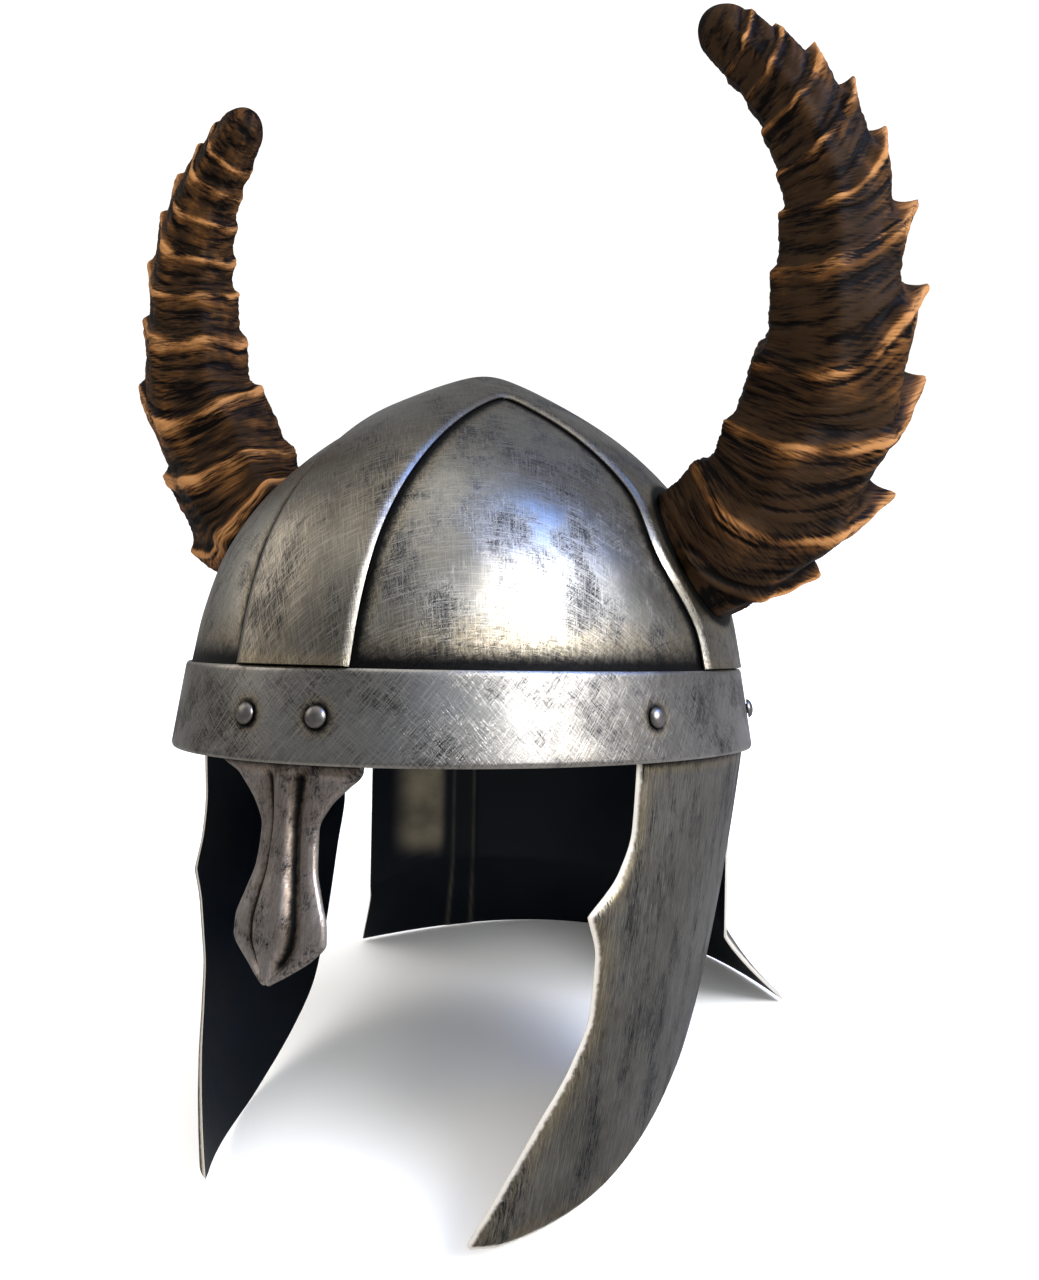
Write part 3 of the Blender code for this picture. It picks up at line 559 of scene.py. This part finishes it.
def makeRivets():
    for name, (spot, facing), side, wall in rivetPlan:
        spot, facing = mirrored(spot, side), mirrored(facing, side)
        seat, tail = layers["gap"], -(helmet["guardInset"] + wall + layers["gap"])
        rounding, lip = rivet["rounding"], rivet["lip"]
        profile = [
            (rivet["tail"] * 0.86, tail - rivet["tailHeight"]),
            (rivet["tail"], tail - rivet["tailHeight"] * 0.7), (rivet["tail"], tail - rounding),
            (rivet["shank"], tail), (rivet["shank"], seat - rounding),
            (rivet["head"] * 0.97, seat), (rivet["head"], seat + lip),
        ]
        for turn in (math.radians(degrees) for degrees in range(10, 90, 10)):
            profile.append((rivet["head"] * math.cos(turn),
                            seat + lip + (rivet["headHeight"] - lip) * math.sin(turn)))
        obj = ovalWall(name + "_dressed", rivet["sides"], [(r, r, r, z) for r, z in profile])
        startEdit()
        for level in (profile[0][1] * mm, profile[-1][1] * mm):
            selectPoints(obj, lambda co: abs(co.z - level) < tiny)
            closeLoop()
        endEdit(outwards=True)
        obj.data.transform(facingFrom(spot * mm, facing))
        obj.data.materials.append(rivetSteel)
        finish(obj, name, 50.0)
    print("rivets set:", len(rivetPlan))


# Straps: the CAD solid's outer skin in quads, its edge held by an inset, then subdivided

strap = {"roundWidth": 2.8, "roundDrop": 1.35, "roundCurve": 1.4, "holdingEdge": 1.6, "footHeight": 3.0,
         "cornerSlack": 0.6, "skinFacing": 0.55, "foldAngle": 0.9, "fineness": 3}


def copyOfNode(node, name):
    obj = addObject(name, nodes[node].data.copy())
    obj.data.materials.clear()
    obj.data.transform(fromTable)
    makeActive(obj)
    startEdit()
    bpy.ops.mesh.customdata_custom_splitnormals_clear()
    bpy.ops.mesh.remove_doubles(threshold=tiny)
    bpy.ops.mesh.tris_convert_to_quads(face_threshold=math.radians(60), shape_threshold=math.radians(80))
    endEdit()
    return obj


def makeStraps():
    obj = copyOfNode("cross_frame", "cross_frame_dressed")
    startEdit("FACE")
    bpy.ops.mesh.select_all(action="DESELECT")
    mesh = bmesh.from_edit_mesh(obj.data)
    middle = Vector((0, 0, helmet["bandHeight"] * mm))
    for face in mesh.faces:
        spot = face.calc_center_median() - middle
        away = Vector((spot.x / helmet["halfWidth"] ** 2, spot.y / helmet["front"] ** 2,
                       spot.z / helmet["domeHeight"] ** 2)).normalized()
        face.select_set(face.normal.dot(away) < strap["skinFacing"])
    bmesh.update_edit_mesh(obj.data)
    bpy.ops.mesh.delete(type="FACE")
    # the corners at the straps' feet stay square
    bpy.ops.mesh.select_mode(type="VERT")
    mesh = bmesh.from_edit_mesh(obj.data)
    for vert in mesh.verts:
        ways = [edge.other_vert(vert).co - vert.co for edge in vert.link_edges if len(edge.link_faces) == 1]
        vert.select_set(len(ways) == 2 and vert.co.z < (helmet["bandHeight"] + strap["footHeight"]) * mm
                        and abs(ways[0].angle(ways[1]) - math.pi / 2) < strap["cornerSlack"])
    bmesh.update_edit_mesh(obj.data)
    bpy.ops.transform.vert_crease(value=1.0)
    bpy.ops.mesh.select_mode(type="FACE")
    bpy.ops.mesh.select_all(action="SELECT")
    bpy.ops.mesh.inset(thickness=strap["holdingEdge"] * mm, use_boundary=True, use_even_offset=True)
    endEdit()
    applyModifier(obj, "SUBSURF", levels=strap["fineness"], render_levels=strap["fineness"],
                  boundary_smooth="PRESERVE_CORNERS")
    rolledWall(obj, layers["strap"], strap["roundWidth"], strap["roundDrop"], strapSteel, insideBlack,
               strap["roundCurve"], helmet["bandHeight"] + 1)
    layMap(obj, crownMap)
    return obj


straps = makeStraps()
strapEdges = edgeTree(straps, lambda edge: len(edge.link_faces) == 2
                      and edge.calc_face_angle(0) > strap["foldAngle"])
print("straps cut:", len(straps.data.polygons), "faces")


# Brow band: one ring, its lower edge flared and both edges filed round

band = {"steps": 320, "rows": (0.0, 0.25, 0.6, 1.1, 1.8, 3.0), "middleRows": 12, "roundWidth": 1.5,
        "roundDrop": 0.55, "rivetShade": 1.3}


def makeBand():
    height = helmet["bandHeight"]
    lower = list(band["rows"])
    between = [mix(lower[-1], height - lower[-1], step / band["middleRows"])
               for step in range(1, band["middleRows"])]
    levels = lower + between + [height - row for row in reversed(lower)]
    obj = ovalWall("brow_band_dressed", band["steps"], [ovalRing(flareAt(z), z) for z in levels])
    rolledWall(obj, layers["band"], band["roundWidth"], band["roundDrop"], bandSteel, insideBlack)
    layMap(obj, roundMap)
    heads = [mirrored(spot, side) for _, (spot, _), side, _ in rivetPlan]
    near = []
    for vert in obj.data.vertices:
        gap = min(((vert.co / mm) - head).length for head in heads) - rivet["head"]
        near.append(min(far, max(0.0, gap) * band["rivetShade"]))
    writeAttribute(obj, "seam", near)
    finish(obj, "brow_band")
    print("brow band rolled")


# Dome panels: one raised shell, cut in four where the straps cover its joints

dome = {"steps": 256, "rows": 54, "foot": 1.0, "gap": 0.6, "crownHole": 4.0, "bandShade": 0.3,
        "strapShade": 0.8, "roundWidth": 0.3, "roundDrop": 0.1, "hornShade": 0.3}


def makePanels():
    rings = [ovalRing(helmet["panelInset"] + flareAt(z), z) for z in (dome["foot"], helmet["bandHeight"] / 2)]
    inset = helmet["panelInset"] + helmet["flare"]
    wide = helmet["halfWidth"] - inset
    last = math.acos(dome["crownHole"] / wide)
    for row in range(dome["rows"] + 1):
        share = math.cos(last * row / dome["rows"])
        z = helmet["bandHeight"] + helmet["domeHeight"] * readTable(domeProfile, share, 1)
        rings.append(ovalRing(inset, z, share))
    shell = ovalWall("dome_shell", dome["steps"], rings)
    # the band's upper edge, to measure distances from
    rimSpots = []
    for step in range(4 * dome["steps"]):
        turn = 2 * math.pi * step / (4 * dome["steps"])
        x, y = wide * math.sin(turn), -math.cos(turn)
        rimSpots.append(Vector((x, y * ovalReach(y, inset), helmet["bandHeight"])) * mm)
    rimTree = treeOf(rimSpots)
    for word, side in bothSides:
        for end, ySide in (("front", -1), ("rear", 1)):
            node = f"panel_{end}_{word}"
            obj = addObject(node + "_dressed", shell.data.copy())
            makeActive(obj)
            startEdit()
            for direction in ((side, 0, 0), (0, ySide, 0)):
                bpy.ops.mesh.select_all(action="SELECT")
                cut = Vector(direction) * (dome["gap"] / 2 * mm)
                bpy.ops.mesh.bisect(plane_co=cut, plane_no=direction, clear_inner=True)
            endEdit()
            rolledWall(obj, layers["panel"], dome["roundWidth"], dome["roundDrop"], panelSteel, insideBlack)
            layMap(obj, crownMap)
            writeAttribute(obj, "seam", [
                min((toStrap - layers["strapGap"]) * dome["strapShade"], toBand * dome["bandShade"])
                for toStrap, toBand in zip(distances(obj, strapEdges), distances(obj, rimTree))])
            writeAttribute(obj, "rim", [far] * len(obj.data.vertices))
            finish(obj, node)
    bpy.data.objects.remove(shell)
    # the straps are black in the corners round the horns and over the band
    centre, along, _, _ = hornAxes(0.0)
    black = []
    for vert, gap in zip(straps.data.vertices, distances(straps, rimTree)):
        spot = mirrored(vert.co, math.copysign(1, vert.co.x)) / mm - centre
        toHorn = (spot - along * spot.dot(along)).length - horn["halfWidth"] + 1
        black.append(min(gap, max(dome["hornShade"], toHorn)))
    writeAttribute(straps, "seam", black)
    finish(straps, "cross_frame")
    print("dome panels raised")


# Cheek guards

cheek = {"wall": 2.0, "length": 150.5, "width": 136.0, "rear": 38.0, "tuck": 4.7, "curl": 12.8, "twist": 19.9,
         "twistAxis": 0.72, "tang": 24.0, "columns": 56, "rows": 120, "roundWidth": 3.4, "roundDrop": 1.85,
         "roundCurve": 1.3, "point": 3, "tangShare": 0.12, "rowCrowding": 1.15}
cheekRibs = (
    # row, front edge: share of the width from the rear edge, share of the length down; rear edge: the same
    (0, 0.709, 0.000, 0.000, 0.000), (1, 0.711, 0.141, 0.009, 0.134), (2, 0.743, 0.235, 0.018, 0.222),
    (3, 0.823, 0.321, 0.068, 0.369), (4, 0.790, 0.416, 0.105, 0.470), (5, 0.788, 0.530, 0.163, 0.604),
    (6, 0.825, 0.638, 0.235, 0.725), (7, 0.890, 0.748, 0.345, 0.819), (8, 0.938, 0.839, 0.480, 0.896),
    (9, 0.975, 0.914, 0.630, 0.953), (10, 0.999, 0.962, 0.780, 0.982), (10.7, 1.006, 0.981, 0.890, 0.995),
    (11, 1.001, 0.990, 0.945, 0.999),
)


def makeCheekGuard(word, side):
    # above and below the point of its front edge the outline is smooth
    upper, lower = cheekRibs[:cheek["point"] + 1], cheekRibs[cheek["point"]:]
    lastRow, tangShare = cheekRibs[-1][0], cheek["tangShare"]

    def place(u, v):
        down = 1 - v
        share = 0.5 - 0.5 * math.cos(math.pi * u)
        if down < tangShare:
            z = cheek["tang"] * (1 - down / tangShare)
            share = mix(cheekRibs[0][3], cheekRibs[0][1], share)
        else:
            row = lastRow * (1 - (1 - (down - tangShare) / (1 - tangShare)) ** cheek["rowCrowding"])
            table = upper if row <= cheek["point"] else lower
            front, frontDown, rear, rearDown = (readTable(table, row, column) for column in (1, 2, 3, 4))
            z = -cheek["length"] * mix(rearDown, frontDown, share)
            share = mix(rear, front, share)
        y = cheek["rear"] - cheek["width"] * share
        low = max(-z, 0) / cheek["length"]
        inset = helmet["guardInset"] + flareAt(z)
        reach = ovalReach(y, inset)
        x = (helmet["halfWidth"] - inset) * math.sqrt(1 - (y / reach) ** 2)
        x -= (cheek["tuck"] * low + cheek["curl"] * low ** 2
              + cheek["twist"] * low * (cheek["twistAxis"] - share))
        return side * x, y, z

    name = f"cheek_guard_{word}"
    obj = sheet(name + "_dressed", cheek["columns"], cheek["rows"], place, flip=side > 0)
    rolledWall(obj, cheek["wall"], cheek["roundWidth"], cheek["roundDrop"], guardSteel, insideBlack,
               cheek["roundCurve"])
    layMap(obj, lambda co: (co.y, co.z))
    # black just below the band's lower edge, a painted shadow of the band
    writeAttribute(obj, "seam", [max(0.0, -vert.co.z / mm) for vert in obj.data.vertices])
    finish(obj, name)


# Neck guard

neck = {"wall": 1.5, "tang": 24.0, "endAngle": 57.2, "flangeEndAngle": 53.2, "bendEnd": 78.0,
        "bendRear": 62.0, "bendEase": 5, "outEnd": 27.0, "outRear": 20.0, "outEase": 4, "outCurve": 1.15,
        "drop": 26.9, "slope": 0.26, "columns": 220, "wallRows": 30, "flangeRows": 22, "roundWidth": 2.0,
        "roundDrop": 0.9, "seamTurn": -33.0, "seamWidth": 10.0, "seamDepth": 0.9, "seamSlope": 1.2,
        "seamGlint": 0.2, "seamGlintWidth": 0.7, "wornFrom": -74.0, "wornTo": -60.5, "wornDepth": 58.0}


def makeNeckGuard():
    rearReach = helmet["rear"] - helmet["guardInset"]
    cornerY = math.cos(math.radians(neck["flangeEndAngle"])) * (rearReach + neck["outEnd"])
    rows = neck["wallRows"] + neck["flangeRows"]

    def place(u, v):
        row = (1 - v) * rows
        across = 0.5 - 0.5 * math.cos(math.pi * u)
        ends = abs(2 * across - 1)
        flangeShare = max(0.0, (row - neck["wallRows"]) / neck["flangeRows"])
        halfTurn = math.radians(mix(neck["endAngle"], neck["flangeEndAngle"], flangeShare))
        turn = mix(-halfTurn, halfTurn, across)
        bend = -mix(neck["bendRear"], neck["bendEnd"], ends ** neck["bendEase"])
        out = 0.0
        if flangeShare == 0:
            z = mix(neck["tang"], bend, row / neck["wallRows"])
        else:
            fullOut = mix(neck["outRear"], neck["outEnd"], ends ** neck["outEase"])
            out = fullOut * flangeShare ** neck["outCurve"]
            y = math.cos(turn) * (rearReach + fullOut)
            edge = -neck["bendEnd"] - neck["drop"] + neck["slope"] * (y - cornerY)
            z = mix(bend, edge, flangeShare)
        inset = helmet["guardInset"] + flareAt(z) - out
        return ((helmet["halfWidth"] - inset) * math.sin(turn), math.cos(turn) * (helmet["rear"] - inset), z)

    obj = sheet("neck_guard_dressed", neck["columns"], rows, place, flip=True)
    rolledWall(obj, neck["wall"], neck["roundWidth"], neck["roundDrop"], guardSteel, insideBlack)
    layMap(obj, lambda co: (math.atan2(co.x, co.y) * helmet["halfWidth"], co.z))
    # inside, the joint pressed into its wall shows as two fine upright lines, their edges painted pale as a
    # highlight, beside a patch rubbed bare
    half = len(obj.data.vertices) // 2
    wornAndGlint = [0.0] * half
    for vert in obj.data.vertices[half:]:
        x, y, z = vert.co / mm
        off = abs(math.atan2(x, y) - math.radians(neck["seamTurn"])) * helmet["halfWidth"]
        beside = off - neck["seamWidth"] / 2
        lift = smooth(neck["seamSlope"], 0.0, beside) * neck["seamDepth"] * mm
        vert.co += Vector((-x, -y, 0)).normalized() * lift
        patch = smooth(neck["wornFrom"] - 5, neck["wornFrom"] + 5, x)
        patch *= smooth(neck["wornTo"] + 2, neck["wornTo"] - 2, x)
        patch *= smooth(-neck["wornDepth"] - 6, -neck["wornDepth"] + 6, z)
        # the patch is wear; the pale lines along the joint's edges are painted highlights
        wornAndGlint.append(max(patch, neck["seamGlint"] * math.exp(-(beside / neck["seamGlintWidth"]) ** 2)))
    writeAttribute(obj, "wornAndGlint", wornAndGlint)
    writeAttribute(obj, "seam", [far] * len(obj.data.vertices))
    finish(obj, "neck_guard")
    print("guards bent")


# Nose guard: a raised rib between two grooves, and flat wings that fall away to the edges

nose = {"wall": 2.5, "length": 66.5, "halfWidth": 27.0, "tangHalfWidth": 22.0, "tang": 24.0,
        "tangShare": 0.16, "kick": 6.5, "relief": 5.0, "reliefStart": 5.0, "grooveDepth": 1.7,
        "grooveWidth": 0.13, "columns": 96, "rows": 110, "rowCrowding": 1.1, "roundWidth": 1.8,
        "roundDrop": 1.1}
noseRibs = (
    # share of the length below the band, share of the half-width, of the forward kick, the rib's share
    (0.000, 1.000, 0.00, 0.22), (0.045, 0.940, 0.00, 0.23), (0.120, 0.740, 0.00, 0.26),
    (0.210, 0.530, 0.02, 0.32), (0.310, 0.415, 0.08, 0.38), (0.470, 0.440, 0.30, 0.42),
    (0.600, 0.540, 0.62, 0.44), (0.730, 0.645, 0.92, 0.44), (0.810, 0.655, 0.98, 0.42),
    (0.880, 0.530, 1.00, 0.38), (0.950, 0.280, 1.00, 0.34), (1.000, 0.070, 1.00, 0.30),
)
noseSection = (
    # place across, 0 at the rib's middle, 1 at the rib's edge and 2 at the guard's edge; share of the relief
    (0.0, 0.00), (0.5, 0.07), (0.8, 0.18), (1.0, 0.36), (1.22, 0.56), (1.60, 0.70), (2.0, 1.00),
)


def makeNoseGuard():
    tangShare = nose["tangShare"]
    black = []

    def place(u, v):
        down = 1 - v
        across = -math.cos(math.pi * u)
        if down < tangShare:
            z = nose["tang"] * (1 - down / tangShare)
            x = nose["tangHalfWidth"] * across
            push, groove = 0.0, 0.0
        else:
            share = 1 - (1 - (down - tangShare) / (1 - tangShare)) ** nose["rowCrowding"]
            width, kick, rib = (readTable(noseRibs, share, column) for column in (1, 2, 3))
            z = -nose["length"] * share
            x = nose["halfWidth"] * width * across
            part = abs(across)
            section = part / rib if part < rib else 1 + (part - rib) / (1 - rib)
            fade = smooth(0.0, nose["reliefStart"], -z)
            groove = math.exp(-((part - rib) / nose["grooveWidth"]) ** 2) * fade * smooth(1.0, 0.9, share)
            push = (nose["relief"] * readTable(noseSection, section, 1) * fade * smooth(1.03, 0.88, share)
                    + nose["grooveDepth"] * groove - nose["kick"] * kick)
        inset = helmet["guardInset"] + flareAt(z)
        y = -(helmet["front"] - inset) * math.sqrt(1 - (x / (helmet["halfWidth"] - inset)) ** 2)
        # black in the grooves, and a painted shadow under the band's lower edge
        black.append(min(0.4 + 4 * (1 - groove), max(0.0, 0.4 - 0.7 * z)))
        return x, y + push, z

    obj = sheet("nasal_guard_dressed", nose["columns"], nose["rows"], place)
    rolledWall(obj, nose["wall"], nose["roundWidth"], nose["roundDrop"], noseSteel, noseSteel)
    layMap(obj, lambda co: (co.x, co.z))
    writeAttribute(obj, "seam", black + [far] * len(black))
    finish(obj, "nasal_guard")
    print("nose guard cast")


# Horns

horn = {"rise": 180.2, "spread": 53.2, "sweep": 27.2, "baseHeight": 70.2, "baseDepth": 4.5,
        "halfWidth": 27.7, "length": 232.0, "ridge": 1.6, "innerRidge": 0.8, "tooth": 11.8, "hook": 4.5,
        "ringsStart": 0.045, "tipStart": 0.955, "toothTurn": 42.0, "corners": 6, "facet": 1.8,
        "grooveSpacing": 2.3, "grooveDepth": 0.62, "crestSweep": 29.0, "crestLift": 2.5, "crestDrift": 1.6,
        "sides": 132, "rows": 430, "seatRows": 6, "seatSearch": 40}
hornPath = (
    # share of the length, share of the spread, of the rise and of the forward sweep
    (0.000, 0.000, 0.000, 0.000), (0.166, 0.547, 0.114, 0.004), (0.307, 0.814, 0.263, 0.059),
    (0.457, 0.989, 0.429, 0.364), (0.627, 1.000, 0.632, 0.485), (0.789, 0.793, 0.812, 0.743),
    (1.000, 0.200, 1.0072, 1.030),
)
hornGirths = (
    # share of the length, share of the half-width outwards and from front to back
    (0.000, 0.915, 0.880), (0.166, 0.935, 0.865), (0.307, 0.945, 0.810), (0.457, 0.810, 0.745),
    (0.627, 0.650, 0.610), (0.789, 0.500, 0.465), (0.900, 0.385, 0.350), (1.000, 0.300, 0.280),
)
hornRings = (
    # where the ring ends along the horn, share of the tooth's height
    (0.112, 0.60), (0.225, 0.95), (0.366, 0.80), (0.500, 0.80), (0.620, 0.75), (0.705, 0.55),
    (0.785, 0.60), (0.850, 0.50), (0.910, 0.30), (0.955, 0.20),
)
ringSwell = (
    # share along a ring, share of its swelling, which falls away at the start of the next ring
    (0.00, 1.00), (0.06, 0.60), (0.13, 0.24), (0.22, 0.06), (0.38, 0.12), (0.62, 0.38), (0.85, 0.80),
    (0.96, 1.00), (1.00, 1.00),
)


def outwardReach(z):
    # how far out the straps stand at a height over the middle of the helmet
    low, high = 0.0, 1.0
    grown = layers["strap"] + layers["strapGap"]
    for _ in range(40):
        share = (low + high) / 2
        if helmet["bandHeight"] + (helmet["domeHeight"] + grown) * readTable(domeProfile, share, 1) > z:
            low = share
        else:
            high = share
    return (helmet["halfWidth"] - helmet["panelInset"] - helmet["flare"] + grown) * low


def hornCentre(share):
    base = Vector((outwardReach(horn["baseHeight"]) - horn["baseDepth"], 0, horn["baseHeight"]))
    return base + Vector((horn["spread"] * readTable(hornPath, share, 1),
                          -horn["sweep"] * readTable(hornPath, share, 3),
                          horn["rise"] * readTable(hornPath, share, 2)))


def hornAxes(share):
    step = 0.02
    along = (hornCentre(min(share + step, 1)) - hornCentre(max(share - step, 0))).normalized()
    outward = Vector((1, 0, 0))
    outward = (outward - along * outward.dot(along)).normalized()
    backward = outward.cross(along)
    if backward.y < 0:
        backward.negate()
    return hornCentre(share), along, outward, backward


def ringAt(share):
    # the swelling of the horn's rings at a share of its length, and how tall the ring's teeth are
    start, before = horn["ringsStart"], 0.0
    for end, tall in hornRings:
        if share < end:
            part = max(0.0, (share - start) / (end - start))
            return readTable(ringSwell, part, 1), mix(before, tall, smooth(0.0, 0.12, part))
        start, before = end, tall
    return max(0.0, 1 - (share - start) / 0.01), before


def hornRelief(share, angle, seed, tanShift):
    # how far the surface stands off the plain horn, its teeth's hook along the horn, and the crest's and
    # the grain's share for the paint; tanShift is added to the crest share over the whole horn, and makes the
    # right horn lighter than the left
    fromTeeth = angle - math.radians(horn["toothTurn"])
    main = max(0.0, math.cos(fromTeeth)) ** 3
    corner = (0.5 + 0.5 * math.cos(horn["corners"] * fromTeeth)) ** 3
    strength = 0.2 + 0.8 * (0.5 + 0.5 * math.cos(fromTeeth)) ** 1.2
    drift = noise.noise(Vector((math.cos(angle) * 1.3, math.sin(angle) * 1.3, share * 9 + seed)))
    # each crest sweeps up to its tooth, and kinks upwards at the corners
    turned = abs(math.remainder(fromTeeth, 2 * math.pi)) / math.radians(120)
    turned = math.hypot(turned, 0.1) - 0.1
    sweep = horn["crestSweep"] * (max(0.0, 1 - turned) ** 1.15 - 1)
    lift = sweep + horn["crestLift"] * corner * strength + horn["crestDrift"] * drift
    girth = readTable(hornGirths, share, 1)
    moved = share - lift * girth / horn["length"]
    swell, tall = ringAt(max(moved, 0.0))
    inner = 0.5 - 0.5 * math.cos(fromTeeth)
    raised = horn["ridge"] * girth * swell * (0.7 + 0.5 * corner) * (1 + horn["innerRidge"] * inner)
    raised += horn["tooth"] * tall * swell * (main * (0.8 + 0.2 * corner) + 0.16 * strength * corner)
    raised += horn["facet"] * girth * (corner - 0.3) * smooth(1.0, 0.93, share)
    line = moved * horn["length"] / horn["grooveSpacing"]
    around = Vector((math.cos(angle) * 0.9, math.sin(angle) * 0.9, 0))
    coarse = noise.noise(around * 1.2 + Vector((seed, 0, line * 0.75)))
    fine = noise.noise(around * 2.2 + Vector((0, seed, line * 1.9)))
    grain = 0.9 * coarse + 0.55 * fine
    fade = smooth(1.0, 0.94, share) * smooth(0.0, 0.05, share)
    raised += horn["grooveDepth"] * grain * fade * (0.6 + 0.6 * girth)
    hook = horn["hook"] * tall * main * swell ** 2
    knob = max(0.5 + 0.5 * math.cos(horn["corners"] * fromTeeth), main)
    crest = swell ** 3 * (0.56 + 0.44 * knob) * (0.65 + 0.35 * strength) * smooth(0.05, 0.08, share)
    crest += tanShift + 0.35 * (strength - 0.75)
    return raised, hook, crest, 0.5 + 0.5 * grain


def makeHorn(word, side, seed, tanShift):
    rows, sides, seatRows = horn["rows"], horn["sides"], horn["seatRows"]
    crests, grains = {}, {}
    baseCentre, baseAlong, baseOut, baseBack = hornAxes(0.0)

    def ringPoint(share, angle, axes):
        centre, along, outward, backward = axes
        tip = 1.0
        if share > horn["tipStart"]:
            tip = math.sqrt(max(0.0, 1 - ((share - horn["tipStart"]) / (1 - horn["tipStart"])) ** 2))
        raised, hook, crest, grain = hornRelief(share, angle, seed, tanShift)
        wide = horn["halfWidth"] * readTable(hornGirths, share, 1) * tip
        deep = horn["halfWidth"] * readTable(hornGirths, share, 2) * tip
        radial = outward * (wide * math.cos(angle)) + backward * (deep * math.sin(angle))
        away = outward * math.cos(angle) + backward * math.sin(angle)
        return centre + radial + away * (raised * tip) + along * hook, crest, grain

    shares = [mix(horn["ringsStart"] * 0.5, 1.0, row / (rows - 1)) for row in range(rows)]
    angles = [2 * math.pi * step / sides for step in range(sides)]
    points = []
    for share in shares:
        axes = hornAxes(share)
        points.append([ringPoint(share, angle, axes) for angle in angles])

    # the foot meets the strap's lobe along its own direction
    foot = []
    for angle in angles:
        spot = (baseCentre + baseOut * (horn["halfWidth"] * hornGirths[0][1] * math.cos(angle))
                + baseBack * (horn["halfWidth"] * hornGirths[0][2] * math.sin(angle)))
        start = mirrored(spot, side) + mirrored(baseAlong, side) * horn["seatSearch"]
        down = -mirrored(baseAlong, side)
        hit, where, _, _ = straps.ray_cast(toTable @ (start * mm), (toTable.to_3x3() @ down).normalized())
        landed = (fromTable @ where) / mm if hit else start + down * horn["seatSearch"]
        foot.append(mirrored(landed, side) + baseAlong * layers["gap"])

    def place(u, v):
        step = round(u * sides) % sides
        row = round(v * (rows + seatRows - 1))
        if row < seatRows:
            point, crest, grain = points[0][step]
            spot = foot[step].lerp(point, row / seatRows)
        else:
            spot, crest, grain = points[row - seatRows][step]
        crests[row, step], grains[row, step] = crest, grain
        return mirrored(spot, side)

    name = f"horn_{word}"
    obj = sheet(name + "_dressed", sides, rows + seatRows - 1, place)
    width = sides + 1
    keys = [(index // width, index % width % sides) for index in range(len(obj.data.vertices))]
    writeAttribute(obj, "crest", [crests[key] for key in keys])
    writeAttribute(obj, "grain", [grains[key] for key in keys])
    layer = obj.data.uv_layers[0]
    layer.name = "millimetres"
    around = 2 * math.pi * horn["halfWidth"]
    for loop in obj.data.loops:
        row, step = divmod(loop.vertex_index, width)
        layer.data[loop.index].uv = (step / sides * around, row / rows * horn["length"])
    startEdit()
    bpy.ops.mesh.remove_doubles(threshold=tiny / 10)
    bpy.ops.mesh.select_all(action="DESELECT")
    bpy.ops.mesh.select_non_manifold(extend=False)
    closeLoop()
    endEdit(outwards=True)
    obj.data.materials.append(hornResin)
    finish(obj, name, 60.0)


makeBand()
makePanels()
makeRivets()
for word, side in bothSides:
    makeCheekGuard(word, side)
makeNeckGuard()
makeNoseGuard()
makeHorn("left", 1, 3.0, -0.04)
makeHorn("right", -1, 11.0, 0.22)
print("horns carved")


# Floor, light and camera

studio = {
    # azimuth round from the face, height angle, distance, width, height in metres, watts, colour
    "window": (87, 28, 1.3, 0.6, 0.66, 26, "#f8fbff"),
    "sky": (116, 42, 1.4, 0.85, 0.7, 15, "#6495f5"),
    "side": (48, 38, 1.6, 0.9, 0.9, 1.6, "#cfe0ff"),
    "front": (-78, 36, 1.8, 1.1, 1.0, 7, "#fff7ee"),
    "top": (0, 88, 1.8, 1.8, 1.8, 9, "#ffffff"),
}
lens = {"place": (239.8, -442.1, 38.4), "turn": 26.85, "roll": 1.08, "length": 36.04}


def makeStudio():
    centre = (cadLow + cadHigh) / 2
    for name, (azimuth, height, away, wide, tall, watts, colour) in studio.items():
        light = bpy.data.lights.new(name, "AREA")
        light.shape = "RECTANGLE"
        light.size, light.size_y = wide, tall
        light.energy = watts
        light.color = paint(colour)[:3]
        obj = addObject(name, light)
        turn, rise = math.radians(azimuth), math.radians(height)
        back = Vector((math.sin(turn) * math.cos(rise), -math.cos(turn) * math.cos(rise), math.sin(rise)))
        obj.matrix_world = facingFrom(centre + back * away, back)
    bpy.ops.object.select_all(action="DESELECT")
    bpy.ops.mesh.primitive_plane_add(size=60)
    floor = bpy.context.active_object
    floor.name = "floor"
    material, add, shader = newMaterial("pale_paper")
    # a white sheet that the steel mirrors as a grey one, as it does the room
    mirror = add("LightPath").outputs["Is Glossy Ray"]
    paper = add("MixRGB", mirror, paint("#fcfbf9"), paint("#84827e"))
    setInput(shader, "Base Color", paper)
    setInput(shader, "Roughness", 0.9)
    floor.data.materials.append(material)
    world = bpy.data.worlds.new("studio")
    bpy.context.scene.world = world
    world.use_nodes = True
    tree = world.node_tree
    # a white room that the steel mirrors as grey walls
    mirror = addNode(tree, "LightPath").outputs["Is Glossy Ray"]
    walls = addNode(tree, "MixRGB", mirror, (1.15, 1.15, 1.15, 1), (0.30, 0.31, 0.33, 1))
    setInput(tree.nodes["Background"], "Color", walls)
    world.cycles.sampling_method = "NONE"
    bpy.context.scene.view_settings.view_transform = "Standard"


def makeCamera():
    data = bpy.data.cameras.new("camera")
    data.lens, data.sensor_width = lens["length"], 36
    data.clip_start = 0.01
    camera = addObject("camera", data)
    camera.matrix_world = (toTable @ Matrix.Translation(Vector(lens["place"]) * mm)
                           @ Matrix.Rotation(math.radians(lens["turn"]), 4, "Z")
                           @ Matrix.Rotation(math.radians(90), 4, "X")
                           @ Matrix.Rotation(math.radians(lens["roll"]), 4, "Z"))
    bpy.context.scene.camera = camera


makeStudio()
makeCamera()
print("scene ready")
